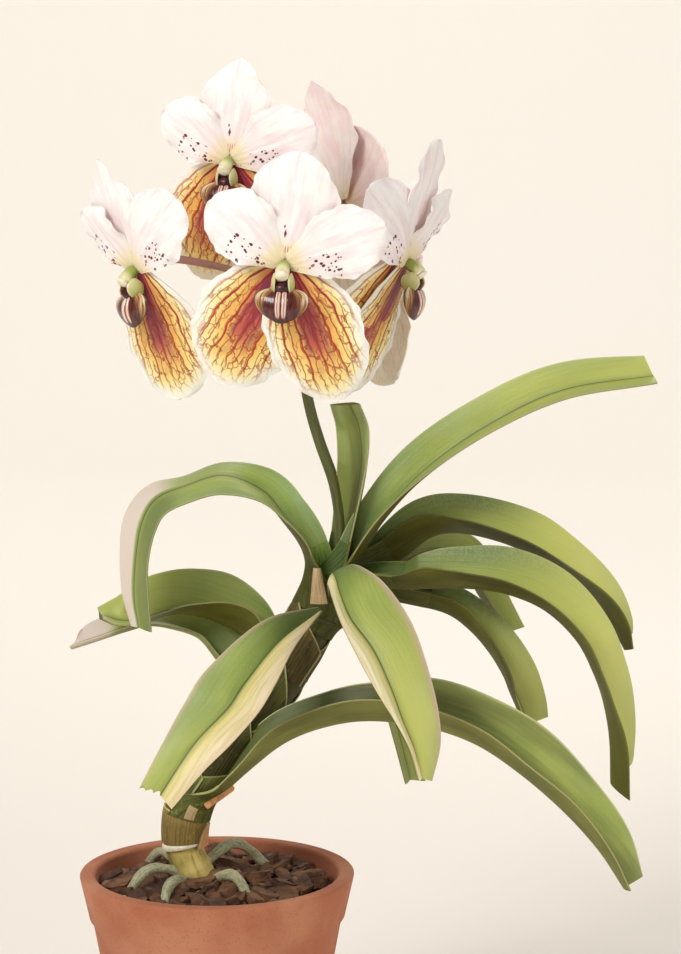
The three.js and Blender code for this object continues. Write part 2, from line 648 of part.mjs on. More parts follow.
// A petal, sepal or lip plate: it runs from its base along an angle in the bloom's face,
// leans out of that face by its pitch, and is cupped, twisted and waved across
function bladeGrid(segment, rowCount, columnCount) {
  const angle = radians(segment.angle);
  const radial = new THREE.Vector3(Math.cos(angle), Math.sin(angle), 0);
  const flatSide = new THREE.Vector3(-Math.sin(angle), Math.cos(angle), 0);
  const outward = new THREE.Vector3(0, 0, 1);
  const pitchAt = (share) => radians(smoothStations(segment.pitch, share));
  const direction = (share) => {
    const pitch = pitchAt(share);
    return radial.clone().multiplyScalar(Math.cos(pitch)).addScaledVector(outward, Math.sin(pitch));
  };
  const middles = [vector(segment.base)];
  for (let step = 1; step <= BLADE.steps; step += 1) {
    const middle = direction((step - 0.5) / BLADE.steps).multiplyScalar(segment.length / BLADE.steps);
    middles.push(middle.add(middles[step - 1]));
  }
  const axisPoint = (share) => {
    const place = share * BLADE.steps;
    const index = Math.min(Math.floor(place), BLADE.steps - 1);
    return middles[index].clone().lerp(middles[index + 1], place - index);
  };
  const [waveHeight, waveCount, waveStart] = segment.wave;
  const rows = [];
  for (let row = 0; row <= rowCount; row += 1) {
    const share = BLADE.tipShare * (1 - (1 - row / rowCount) ** 1.5);
    const pitch = pitchAt(share);
    const level = radial.clone().multiplyScalar(-Math.sin(pitch)).addScaledVector(outward, Math.cos(pitch));
    const twist = radians(segment.twist) * share;
    const side = flatSide.clone().multiplyScalar(Math.cos(twist)).addScaledVector(level, Math.sin(twist));
    const face = level.clone().multiplyScalar(Math.cos(twist)).addScaledVector(flatSide, -Math.sin(twist));
    const half = segment.halfWidth * smoothStations(segment.outline, share) * Math.sqrt(1 - share ** 5);
    const points = [];
    for (let column = 0; column <= columnCount; column += 1) {
      const t = (2 * column) / columnCount - 1;
      const turn = 2 * Math.PI * (waveCount * share + waveStart) + Math.sign(t) * BLADE.wavePhase;
      const ripple = waveHeight * Math.sin(turn) * t * t * Math.min(1, 4 * share);
      const lift = segment.cup * half * t * t + ripple;
      points.push(axisPoint(share).addScaledVector(side, half * t).addScaledVector(face, lift));
    }
    rows.push(points);
  }
  return rows;
}

function bladeSolid(segment, matrix, extra) {
  const grid = bladeGrid(segment, segment.rows ?? BLADE.rows, segment.columns ?? BLADE.columns);
  const placed = grid.map((row) => row.map((point) => point.applyMatrix4(matrix)));
  return sheet(placed, () => segment.thickness / 2, extra);
}

function segmentOf(bloom, name) {
  return { ...SEGMENTS[name], ...(bloom.adjust[name] ?? {}) };
}

// A rounded lump such as the flower's base, given by its centre and half sizes
function ballSolid(lump, matrix, extra) {
  const ball = new THREE.SphereGeometry(1, 7, 4);
  ball.scale(...lump.size.map((radius) => radius + extra));
  ball.translate(...lump.centre);
  ball.applyMatrix4(matrix);
  return solidFrom(ball);
}

function whitePieces(bloom, matrix, extra = 0) {
  const blades = WHITE_SEGMENTS.map((name) => bladeSolid(segmentOf(bloom, name), matrix, extra));
  return join([ballSolid(HUBS.upper, matrix, extra), ...blades]);
}

function lateralPieces(bloom, matrix, extra = 0) {
  const blades = LATERAL_SEGMENTS.map((name) => bladeSolid(segmentOf(bloom, name), matrix, extra));
  return join([ballSolid(HUBS.lower, matrix, extra), ...blades]);
}

function columnSolid(matrix, extra = 0) {
  const points = COLUMN.path.map((point) => vector(point).applyMatrix4(matrix));
  const curve = new THREE.CatmullRomCurve3(points, false, "catmullrom", 0.5);
  const radius = (share) => stations(COLUMN.radius, share) * matrix.getMaxScaleOnAxis();
  return tube(curve, radius, radius, COLUMN.rows, COLUMN.sides, extra);
}

// An ear stands upright beside the cup: its own frame is turned to face sideways
function lipEar(hand, matrix, extra) {
  const forward = new THREE.Vector3(0, 0, 1);
  const up = new THREE.Vector3(0, 1, 0);
  const sideways = new THREE.Vector3(hand, 0, 0);
  const turn = new THREE.Matrix4().makeBasis(forward, up, sideways).setPosition(hand * LIP.earOffset, 0, 0);
  return bladeSolid(LIP.ear, matrix.clone().multiply(turn), extra);
}

// The lip: a pouch floor between two ears, and the fleshy plate that hangs forward from it
function lipSolid(matrix, extra = 0) {
  return join([
    ballSolid(LIP.cup, matrix, extra),
    bladeSolid(LIP.plate, matrix, extra),
    lipEar(1, matrix, extra),
    lipEar(-1, matrix, extra),
  ]);
}

// The whole plant, each piece cut clear of the ones placed before it

const plant = new THREE.Group();
const guards = [];

function addPiece(name, solid, finish, guard = null) {
  const cut = guards.reduce((left, other) => left.subtract(other), solid);
  const mesh = new THREE.Mesh(geometryFrom(largestPiece(cut.simplify(SLIVER))), FINISHES[finish]);
  mesh.name = name;
  plant.add(mesh);
  if (guard) guards.push(guard);
}

const stemGuard = stemSolid(CLEARANCE);
addPiece("pot", potSolid(), "clay");
addPiece("potting_bark", barkSolid(stemGuard), "bark");
addPiece("stem", stemSolid(), "stem", stemGuard);
for (const [name, leaf] of Object.entries(LEAVES)) {
  addPiece(`leaf_${name}`, leafBlade(leaf), "leaf", leafBlade(leaf, CLEARANCE));
}
addPiece("flower_stalk", stalkSolid(), "stalk", stalkSolid(CLEARANCE));
for (const [name, bloom] of Object.entries(BLOOMS)) {
  const frame = bloomFrame(bloom);
  addPiece(`bloom_${name}_column`, columnSolid(frame), "column", columnSolid(frame, CLEARANCE));
  addPiece(`bloom_${name}_petals`, whitePieces(bloom, frame), "petal", whitePieces(bloom, frame, CLEARANCE));
  const sepals = lateralPieces(bloom, frame);
  addPiece(`bloom_${name}_lateral_sepals`, sepals, "sepal", lateralPieces(bloom, frame, CLEARANCE));
  addPiece(`bloom_${name}_lip`, lipSolid(frame), "lip", lipSolid(frame, CLEARANCE));
}

export default plant;
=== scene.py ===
# %% [markdown]
# # A potted Vanda sanderiana
#
# This file dresses a plain solid model of an orchid for a photograph-like render. The plant leans out of
# a clay pot, carries thirteen folded strap leaves, and holds up one stalk with six open blooms. Each cell
# makes one kind of piece or one finish, and says how it was done and why.

# %% Open the frame
import math
import random

import bpy
import numpy as np
from mathutils import Euler, Matrix, Vector


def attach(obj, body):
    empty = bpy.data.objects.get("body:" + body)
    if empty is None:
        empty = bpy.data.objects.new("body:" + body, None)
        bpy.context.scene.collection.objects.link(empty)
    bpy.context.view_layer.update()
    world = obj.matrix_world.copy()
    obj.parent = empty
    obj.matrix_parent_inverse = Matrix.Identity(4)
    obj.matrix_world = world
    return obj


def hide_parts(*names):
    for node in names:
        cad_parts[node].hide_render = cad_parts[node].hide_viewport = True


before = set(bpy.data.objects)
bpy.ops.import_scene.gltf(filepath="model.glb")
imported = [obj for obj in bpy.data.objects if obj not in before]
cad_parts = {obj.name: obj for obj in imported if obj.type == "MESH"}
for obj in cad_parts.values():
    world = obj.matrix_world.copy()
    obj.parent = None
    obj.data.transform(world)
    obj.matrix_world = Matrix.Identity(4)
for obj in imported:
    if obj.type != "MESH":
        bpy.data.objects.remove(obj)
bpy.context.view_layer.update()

MM = 0.001
bpy.ops.object.select_all(action="DESELECT")

# %% [markdown]
# ## Camera
#
# The picture looks at the plant almost level, a little from above. One millimetre of the plant spans two
# pixels of a frame 954 pixels tall, and that scale, with a 100 mm lens, sets the distance.

# %% Camera
LENS = 100
SENSOR = 36
FRAME_HEIGHT_PX = 954
MM_PER_PX = 0.5
AIM = Vector((62.75, 0, 314)) * MM
CAMERA_TILT = math.radians(7)

camera_distance = FRAME_HEIGHT_PX * LENS / SENSOR * MM_PER_PX * MM
towards_camera = Vector((0, -math.cos(CAMERA_TILT), math.sin(CAMERA_TILT)))
bpy.ops.object.camera_add(location=AIM + towards_camera * camera_distance)
camera = bpy.context.object
camera.data.lens = LENS
camera.data.sensor_width = SENSOR
camera.rotation_euler = (-towards_camera).to_track_quat("-Z", "Y").to_euler()
bpy.context.scene.camera = camera
print("camera stands", round(camera_distance / MM), "mm away")

# %% [markdown]
# ## Light and floor
#
# Petals are thin and pale, so the light is soft: one large lamp from the upper left, a weaker one from the
# right to open the shadows, and one from behind that lets the petals glow. The floor is a plain ivory
# sheet that curves up far behind the plant, so that no horizon line crosses the picture. Two more lamps
# wash that backdrop. It could be lit by a brighter room instead, but then the shadows on the plant go flat.

# %% Light and floor
def colour(text):
    """A colour written as in a paint chart, such as "f4e9d8", as the linear numbers that Blender uses."""
    parts = [int(text[i : i + 2], 16) / 255 for i in (0, 2, 4)]
    return tuple(p / 12.92 if p <= 0.04045 else ((p + 0.055) / 1.055) ** 2.4 for p in parts)


def soft_lamp(name, place, watts, size, tint):
    """A square studio lamp that faces the middle of the plant."""
    at = Vector(place) * MM
    bpy.ops.object.light_add(type="AREA", location=at)
    lamp = bpy.context.object
    lamp.name = name
    lamp.data.energy = watts
    lamp.data.size = size * MM
    lamp.data.color = colour(tint)
    lamp.rotation_euler = (AIM - at).to_track_quat("-Z", "Y").to_euler()
    return lamp


soft_lamp("key_lamp", (-900, -1100, 1300), 20, 700, "fffcf8")
soft_lamp("fill_lamp", (1200, -900, 700), 6, 1000, "fffaf8")
soft_lamp("back_lamp", (300, 1100, 1200), 5, 700, "fff8f0")
for side in (-1, 1):
    wash = soft_lamp(f"backdrop_lamp_{side}", (side * 1300, 1500, 1900), 22, 900, "fffcf6")
    wash.rotation_euler = Vector((-side * 0.3, 1, -0.45)).to_track_quat("-Z", "Y").to_euler()
scene = bpy.context.scene
scene.world = bpy.data.worlds.new("studio_air")
scene.world.use_nodes = True
air = scene.world.node_tree.nodes["Background"]
air.inputs["Color"].default_value = (*colour("fdfaf5"), 1)
air.inputs["Strength"].default_value = 0.36
scene.view_settings.view_transform = "Standard"

FLOOR_WIDTH = 9000
FLOOR_DEPTH = 5200
SWEEP_RADIUS = 1500
SWEEP_STEPS = 24
BACKDROP_HEIGHT = 4000
bpy.ops.mesh.primitive_plane_add(size=1)
floor = bpy.context.object
floor.name = "studio_floor"
bpy.ops.object.mode_set(mode="EDIT")
bpy.ops.transform.resize(value=(FLOOR_WIDTH * MM, FLOOR_DEPTH * MM, 1))
bpy.ops.mesh.select_all(action="DESELECT")
bpy.ops.object.mode_set(mode="OBJECT")
for edge in floor.data.edges:
    edge.select = all(floor.data.vertices[v].co.y > 0 for v in edge.vertices)
bpy.context.tool_settings.mesh_select_mode = (False, True, False)
bpy.ops.object.mode_set(mode="EDIT")
bpy.ops.mesh.spin(
    steps=SWEEP_STEPS,
    angle=-math.pi / 2,
    center=(0, FLOOR_DEPTH / 2 * MM, SWEEP_RADIUS * MM),
    axis=(1, 0, 0),
)
bpy.ops.mesh.extrude_region_move(TRANSFORM_OT_translate={"value": (0, 0, BACKDROP_HEIGHT * MM)})
bpy.ops.object.mode_set(mode="OBJECT")
bpy.ops.object.shade_smooth()
print("floor spans", [round(v, 2) for v in floor.dimensions])

# %% [markdown]
# ## A helper for finishes
#
# Every finish here is a small network of nodes. `Value` wraps one socket so that sums are written as
# plain Python, and `Finish` adds any other node: its settings first, then the values or links of its
# sockets.

# %% Finish helper
def sum_of(operation, swapped=False):
    """A method that adds a Math node between a value and another one."""

    def method(self, other):
        return self.finish.maths(operation, *((other, self) if swapped else (self, other)))

    return method


class Value:
    """One socket of a finish. Sums with it add Math nodes."""

    def __init__(self, finish, socket):
        self.finish = finish
        self.socket = socket

    __add__ = __radd__ = sum_of("ADD")
    __sub__ = sum_of("SUBTRACT")
    __rsub__ = sum_of("SUBTRACT", swapped=True)
    __mul__ = __rmul__ = sum_of("MULTIPLY")
    __truediv__ = sum_of("DIVIDE")
    __pow__ = sum_of("POWER")

    def __abs__(self):
        return self.finish.maths("ABSOLUTE", self)

    def fade(self, start, end):
        """0 before start, 1 after end, smooth between. Start may lie above end."""
        ends = {"Value": self, "From Min": start, "From Max": end}
        return self.finish.node("MapRange", {"interpolation_type": "SMOOTHSTEP"}, ends)


class Finish:
    """A material with one main shader, whose fixed values are given by socket name."""

    def __init__(self, name, **fixed):
        self.material = bpy.data.materials.new(name)
        self.material.use_nodes = True
        self.tree = self.material.node_tree
        self.shader = self.tree.nodes["Principled BSDF"]
        for key, value in fixed.items():
            self.shader.inputs[key.replace("_", " ")].default_value = value

    def node(self, kind, settings=None, sockets=None, out=0):
        made = self.tree.nodes.new("ShaderNode" + kind)
        for key, value in (settings or {}).items():
            if key == "stops":
                self.set_stops(made.color_ramp, value)
            else:
                setattr(made, key, value)
        for key, value in (sockets or {}).items():
            if isinstance(value, Value):
                self.tree.links.new(value.socket, made.inputs[key])
            else:
                made.inputs[key].default_value = value
        return Value(self, made.outputs[out])

    def set_stops(self, ramp, stops):
        for index, (place, paint) in enumerate(stops):
            stop = ramp.elements[index] if index < 2 else ramp.elements.new(place)
            stop.position = place
            stop.color = (*colour(paint), 1)

    def maths(self, operation, *values):
        return self.node("Math", {"operation": operation}, dict(enumerate(values)))

    def mix(self, factor, first, second):
        """Goes from the first colour to the second."""
        sockets = {0: factor}
        for key, paint in ((6, first), (7, second)):
            sockets[key] = paint if isinstance(paint, Value) else (*colour(paint), 1)
        return self.node("Mix", {"data_type": "RGBA"}, sockets, out=2)

    def coat(self, paint, share):
        """Lays a colour over the tone so far, as thick as the share says."""
        self.tone = self.mix(share, self.tone, paint)

    def ramp(self, value, *stops):
        return self.node("ValToRGB", {"stops": stops}, {"Fac": value})

    def mark(self, name):
        """A named attribute of the piece, as its three parts."""
        vector = self.node("Attribute", {"attribute_name": name}, out=1)
        return [self.node("SeparateXYZ", None, {0: vector}, out=part) for part in range(3)]

    def joined(self, x, y, z=0.0):
        return self.node("CombineXYZ", None, {0: x, 1: y, 2: z})

    def place(self):
        """The point in the object's own space, in metres."""
        return self.node("TexCoord", out=3)

    def noise(self, where, scale, detail=3.0, rough=0.5):
        sockets = {"Vector": where, "Scale": scale, "Detail": detail, "Roughness": rough}
        return self.node("TexNoise", None, sockets)

    def streaks(self, x, y, z=0.0, detail=3.0):
        """Noise over lengths that are in millimetres, each stretched by its own factor."""
        return self.noise(self.joined(x, y, z), 1.0, detail)

    def cells(self, where, feature="F1", out=0):
        sockets = {"Vector": where, "Scale": 1.0, "Randomness": 0.9}
        return self.node("TexVoronoi", {"feature": feature}, sockets, out)

    def paint(self, height=None, lift=0.0002, rough=None):
        """Links the tone, the relief and the roughness to the shader."""
        self.tree.links.new(self.tone.socket, self.shader.inputs["Base Color"])
        if height:
            bump = self.node("Bump", None, {"Height": height, "Distance": lift, "Strength": 1.0})
            self.tree.links.new(bump.socket, self.shader.inputs["Normal"])
        if rough:
            self.tree.links.new(rough.socket, self.shader.inputs["Roughness"])
        return self.material


FLOOR_GLOW = (*colour("fffaf0"), 1)
floor_finish = Finish("ivory_floor", Roughness=0.9, Emission_Color=FLOOR_GLOW, Emission_Strength=0.03)
floor_finish.tone = floor_finish.mix(floor_finish.noise(floor_finish.place(), 0.8), "fcf6ed", "fdf9f3")
floor.data.materials.append(floor_finish.paint())
print("finish helper ready")

# %% [markdown]
# ## Helpers for shape
#
# Leaves, petals and stalks are all surfaces that can be described by two numbers: how far across, and how
# far along. So each one starts as a flat grid primitive with the right number of rows and columns, and
# every point of the grid is then moved to its place in space. Two marks are kept on each point: `blade`
# holds the share across, the share along and the half width there, and `flat` holds the place on the
# blade as if it were pressed flat, in millimetres. Petals also keep `fan`, in which lines of equal value
# spread out from the base. The finishes read these marks, so veins follow the blade wherever it bends.

# %% Curves and stations
FRONT = np.array([0.0, -1.0, 0.0])
ARC_STEPS = 400


def unit(vectors):
    return vectors / np.linalg.norm(vectors, axis=-1, keepdims=True)


def spline(points, place):
    """A smooth curve through points, read at places from 0 to the last point's number."""
    points = np.asarray(points, float)
    padded = np.vstack([2 * points[0] - points[1], points, 2 * points[-1] - points[-2]])
    index = np.clip(np.floor(place).astype(int), 0, len(points) - 2)
    f = (place - index)[..., None]
    before, here, after, beyond = (padded[index + k] for k in range(4))
    return 0.5 * (
        2 * here
        + (after - before) * f
        + (2 * before - 5 * here + 4 * after - beyond) * f**2
        + (3 * here - before - 3 * after + beyond) * f**3
    )


def smooth(values, share):
    """A number that follows evenly spaced stations on a smooth curve."""
    place = np.clip(share, 0, 1) * (len(values) - 1)
    return spline(np.asarray(values, float)[:, None], place)[..., 0]


def even(values, share):
    """A number that follows evenly spaced stations on straight lines."""
    return np.interp(share, np.linspace(0, 1, len(values)), values)


def between(where, places, points):
    """Points on the straight lines between points at known places."""
    return np.stack([np.interp(where, places, points[:, k]) for k in range(3)], -1)


def columns(*parts):
    """Numbers side by side, a row for each point. A single number is repeated."""
    return np.stack(np.broadcast_arrays(*parts), -1)


def sheet_marks(across, along, half, length):
    """The marks of a sheet: its shares and half width, and its place pressed flat."""
    return {"blade": columns(across, along, half), "flat": columns(across * half, length, 0.0)}


class Path:
    """A curve through points, read by the share of its length."""

    def __init__(self, points):
        self.places = np.linspace(0, len(points) - 1, ARC_STEPS + 1)
        self.dense = spline(points, self.places)
        pieces = np.linalg.norm(np.diff(self.dense, axis=0), axis=1)
        self.run = np.concatenate([[0], np.cumsum(pieces)])
        self.length = self.run[-1]

    def at(self, share):
        inside = np.clip(share, 0, 1)
        found = between(inside * self.length, self.run, self.dense)
        return found + self.along(share) * ((share - inside) * self.length)[..., None]

    def share_of(self, place):
        """The share of the length at a place counted in points, as spline reads it."""
        return np.interp(place, self.places, self.run) / self.length

    def along(self, share):
        step = 2.0 / ARC_STEPS
        low = np.clip(share - step, 0, 1 - step) * self.length
        high = np.clip(share + step, step, 1) * self.length
        return unit(between(high, self.run, self.dense) - between(low, self.run, self.dense))


def viewer_axes(along):
    """Two directions square to a curve: the one nearest the viewer, and the one to its side."""
    to_viewer = unit(FRONT - along * (along @ FRONT)[..., None])
    return to_viewer, np.cross(to_viewer, along)


print("helpers for curves ready")

# %% [markdown]
# A leaf has two faces of different colour and a thin margin, so the grid is thickened by a Solidify modifier
# whose second material covers the far side, and a vertex group thins the margins. A stem is a grid as well,
# rolled into a tube, and an end that is given a cap is closed by pulling the last rings together.

# %% Grids, thickness and tubes
WELD = 0.01
made_pieces = []


def select_only(piece):
    bpy.ops.object.select_all(action="DESELECT")
    piece.select_set(True)
    bpy.context.view_layer.objects.active = piece


def grid_piece(name, grid, place, facing=1):
    """Adds a flat grid and moves each point to place(across, along), given in millimetres."""
    bpy.ops.object.select_all(action="DESELECT")
    bpy.ops.mesh.primitive_grid_add(x_subdivisions=grid[0], y_subdivisions=grid[1], size=2)
    piece = bpy.context.object
    piece.name = name
    mesh = piece.data
    flat = np.empty(len(mesh.vertices) * 3)
    mesh.vertices.foreach_get("co", flat)
    flat = flat.reshape(-1, 3)
    points, marks = place(facing * flat[:, 0], (flat[:, 1] + 1) / 2)
    mesh.vertices.foreach_set("co", (points * MM).ravel())
    for key, values in marks.items():
        layer = mesh.attributes.new(key, "FLOAT_VECTOR", "POINT")
        layer.data.foreach_set("vector", np.ascontiguousarray(values, dtype=np.float32).ravel())
    mesh.update()
    return piece


def apply(piece, kind, **settings):
    """Adds a modifier to a piece and applies it."""
    select_only(piece)
    modifier = piece.modifiers.new(kind.title(), kind)
    for key, value in settings.items():
        setattr(modifier, key, value)
    bpy.ops.object.modifier_apply(modifier=modifier.name)


def thicken(piece, thickness, finishes, thin_margin=0.45):
    """Gives a sheet its thickness, thinner towards its margins, and a second finish on its underside."""
    for finish in finishes:
        piece.data.materials.append(finish)
    blade = np.empty(len(piece.data.vertices) * 3, np.float32)
    piece.data.attributes["blade"].data.foreach_get("vector", blade)
    blade = blade.reshape(-1, 3)
    thick = 1 - (1 - thin_margin) * np.abs(blade[:, 0]) ** 3
    group = piece.vertex_groups.new(name="thickness")
    for index, weight in enumerate(thick):
        group.add([index], float(weight), "REPLACE")
    apply(
        piece, "SOLIDIFY", thickness=thickness * MM, offset=0, vertex_group="thickness",
        material_offset=1, material_offset_rim=1,
    )
    piece.vertex_groups.clear()


def tidy_mesh(piece, angle=60):
    """Welds seams and poles, turns faces outwards and shades smoothly up to an angle."""
    select_only(piece)
    bpy.ops.object.mode_set(mode="EDIT")
    bpy.ops.mesh.select_all(action="SELECT")
    bpy.ops.mesh.remove_doubles(threshold=WELD * MM)
    bpy.ops.mesh.normals_make_consistent(inside=False)
    bpy.ops.object.mode_set(mode="OBJECT")
    bpy.ops.object.shade_smooth_by_angle(angle=math.radians(angle))


def sheet_piece(name, grid, place, thickness, finishes, thin_margin=0.45, facing=1):
    """A thickened sheet, whose two finishes are for its upper side and its underside."""
    piece = grid_piece(name, grid, place, facing)
    thicken(piece, thickness, finishes, thin_margin)
    tidy_mesh(piece)
    return piece


def hand_over(piece, node, finish=None):
    """Gives a piece its finish if it has none, and tells the frame which solid it stands for."""
    if finish:
        piece.data.materials.append(finish)
    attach(piece, "root")
    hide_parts(node)
    made_pieces.append(piece)


def tube_points(path, width, depth, across, along, round_ends):
    """Points of a tube around a path. Rows crowd at both ends, and an end with a reach in round_ends closes
    in a rounded cap.
    """
    share = 0.5 - 0.5 * np.cos(np.pi * along)
    angle = np.pi * across
    to_viewer, sideways = viewer_axes(path.along(share))
    cap = np.ones_like(share)
    for end, reach in enumerate(round_ends):
        if reach:
            into = np.clip((share if end == 0 else 1 - share) * path.length / reach, 0, 1)
            cap = cap * np.sqrt(1 - (1 - into) ** 2)
    points = path.at(share)
    points = points + sideways * (np.cos(angle) * width(share, angle) * cap)[:, None]
    points = points + to_viewer * (np.sin(angle) * depth(share, angle) * cap)[:, None]
    marks = columns(np.cos(angle) * 3, np.sin(angle) * 3, share * path.length)
    return points, {"round": marks, "blade": columns(np.cos(angle), share, np.sin(angle))}


def tube_piece(name, grid, path, width, depth, round_ends):
    def place(across, along):
        return tube_points(path, width, depth, across, along, round_ends)

    piece = grid_piece(name, grid, place)
    tidy_mesh(piece)
    return piece


print("helpers for pieces ready")

# %% [markdown]
# ## Leaf finishes
#
# The upper face of a strap leaf is mid green with a fine grain along the blade, with painted cool shade
# towards its margins, a painted cool sheen on some leaves and painted shade in the fold at the keel. The
# underside is mostly painted a dark olive brown that stands for the shade it lies in, and the margins are
# pale. Two of the leaves in the picture have one half in cream and a painted pinkish reflection along the far
# margin, and two a pinkish tip, which on the arching left leaf is a painted highlight, so one recipe takes
# these as values.
# Painting each leaf on its own would be possible too, but streaks and stipple should look alike on all
# thirteen.

# %% Leaf finishes
def leaf_base(finish, green, dark, light):
    """Green with long soft streaks along the blade, paler patches and a fine stipple."""
    across, along, _ = finish.mark("blade")
    x, y, _ = finish.mark("flat")
    streaks = finish.streaks(x * 0.8, y * 0.025, detail=4)
    patches = finish.streaks(x * 0.07, y * 0.02, detail=2)
    grain = finish.noise(finish.joined(x * 2.4, y * 1.2), 1.0, 4, 0.7)
    finish.tone = finish.mix(patches.fade(0.35, 0.68), green, light)
    finish.coat(dark, streaks.fade(0.45, 0.75) * 0.3)
    finish.coat(dark, grain.fade(0.45, 0.7) * 0.35)
    return streaks * 0.7 + grain * 0.35, across, along


def leaf_top(
    name, warm, near_cream=None, far_reflection=0.0, tail=None, edge=0.5, shade=False, sheen=None, dim=0.85
):
    """Upper face. Near_cream turns the near half cream, far_reflection paints a pinkish reflected highlight
    along the far margin, sheen paints a cool sheen over a stretch, tail darkens the near half of the end with
    painted shade and paints the tip pale, as a painted highlight on the arching left leaf, shade lays brown
    patches over the face, and dim darkens the base."""
    finish = Finish(name, Roughness=0.42, Subsurface_Weight=0.05, Subsurface_Scale=0.002, Sheen_Weight=0.1)
    height, across, along = leaf_base(finish, "839b44", "546d29", "a3b359")
    finish.coat("c8c96c", along.fade(0.1, 0.75) * warm)
    # Painted cool shade: bluer towards the margins, where the rounded blade turns from the light.
    cool = finish.noise(finish.place(), 16, 2) + abs(across) * 0.28
    finish.coat("8aa384", cool.fade(0.6, 0.9) * 0.3)
    finish.coat("4f622b", along.fade(0.3, 0.07) * dim)
    # Painted shade in the fold: darker towards the keel.
    finish.coat("55682b", abs(across).fade(0.3, 0.0) * 0.4)
    if sheen:
        start, end, paint = sheen
        speckle = finish.noise(finish.place(), 900, 2)
        band = along.fade(start - 0.08, start + 0.08) * along.fade(end + 0.1, end - 0.1)
        band = band * across.fade(-0.35, -0.95) * (0.55 + speckle.fade(0.4, 0.6) * 0.45)
        finish.coat(paint, band * 0.6)
    if near_cream:
        x, y, _ = finish.mark("flat")
        streaks = finish.streaks(x * 0.5, y * 0.03, detail=4)
        cream = finish.mix(across.fade(0.75, 0.2) * 0.7, near_cream, "e2d67e")
        cream = finish.mix(streaks.fade(0.42, 0.6) * 0.6, cream, "cfc072")
        cream = finish.mix(across.fade(0.7, 1.0) * 0.6, cream, "e0bfa6")
        cream = finish.mix(across.fade(0.25, 0.02) * 0.85, cream, "9a9c4c")
        finish.coat(cream, across.fade(0.03, 0.1) * 0.95)
    if far_reflection:
        # Painted reflection: a pinkish reflected highlight along the far margin.
        finish.coat("c9a59a", across.fade(-0.84, -0.97) * far_reflection)
    if tail:
        start, end, middle = tail
        late = along.fade(start, end)
        # Painted shade on the near half of the end, then a pale tip, which on the arching left leaf is a
        # painted highlight.
        finish.coat("545f26", late * across.fade(0.05, 0.3) * 0.6)
        finish.coat("e0d0c6", late * across.fade(middle + 0.1, middle - 0.05) * 0.92)
    if shade:
        x, y, _ = finish.mark("flat")
        bright = finish.streaks(x * 0.09, y * 0.012, detail=2)
        finish.coat("413c0c", along.fade(0.75, 0.35) * 0.45 + bright.fade(0.62, 0.42) * 0.4)
    # Painted shade: a thin dark line in the groove along the keel.
    finish.coat("3d4a18", abs(across).fade(0.06, 0.015) * 0.75)
    finish.coat("c9c994", abs(across).fade(0.955, 0.985) * edge)
    rough = finish.noise(finish.place(), 60) * 0.16 + 0.36
    return finish.paint(height, 0.0003, rough)


def leaf_under(name, base, dark, light, edge, tail=0.0):
    finish = Finish(name, Roughness=0.6, Specular_IOR_Level=0.3)
    height, across, along = leaf_base(finish, base, dark, light)
    cool = finish.noise(finish.place(), 22, 2)
    finish.coat("56652f", cool.fade(0.55, 0.75) * 0.35)
    finish.coat("6f7436", along.fade(0.3, 0.9) * 0.3)
    finish.coat("737a3c", abs(across).fade(0.12, 0.0) * 0.35)
    if tail:
        finish.coat("c9b5a4", along.fade(tail, tail + 0.08) * 0.85)
    finish.coat("aeab74", abs(across).fade(0.965, 0.99) * edge)
    return finish.paint(height, 0.0003)


LEAF_TOPS = {
    "plain": leaf_top("leaf_upper", warm=0.5),
    "right": leaf_top("leaf_upper_right", warm=0.95, edge=0.15, sheen=(0.2, 0.45, "566350")),
    "shaded": leaf_top("leaf_upper_shaded", warm=0.3, edge=0.8, shade=True),
    "front": leaf_top("leaf_upper_front", warm=0.75, near_cream="f3edc9", far_reflection=0.7),
    "front_left": leaf_top("leaf_upper_front_left", warm=0.35, near_cream="ead9b6", far_reflection=0.5),
    "left_arch": leaf_top(
        "leaf_upper_left_arch", warm=0.2, tail=(0.5, 0.6, -0.2), sheen=(0.1, 0.3, "86ad84"), dim=0.2
    ),
    "left_low": leaf_top("leaf_upper_left_low", warm=0.6, tail=(0.76, 0.84, 0.9)),
}
# The dark olive brown of the plain and right undersides is painted shade: these faces turn away from the
# light.
LEAF_UNDERS = {
    "plain": leaf_under("leaf_underside", "4c4b0e", "262304", "6a6a1f", 0.6),
    "right": leaf_under("leaf_underside_right", "4a490c", "242203", "686720", 0.12),
    "shaded": leaf_under("leaf_underside_olive", "71733a", "4b4a1c", "8d8f4a", 0.7),
    "left_low": leaf_under("leaf_underside_pale", "7c8538", "565d22", "98a04a", 0.5, tail=0.78),
}
print("leaf finishes:", list(LEAF_TOPS))

# %% [markdown]
# ## Leaves
#
# A strap leaf is a long blade folded along its keel like a gutter, and cut at its tip into two unequal
# lobes. The keel is a curve in space. What the picture shows of the fold is how far each margin rises
# above the keel, so a leaf is described by its width and by the rises of its near and far margins along
# the way; what is left of the width leads towards the viewer or away. Two leaves come straight at the
# viewer, and there both margins are curves of their own. A fold by two angles would be shorter to write,
# but bands of the right breadth are then found by trial only.

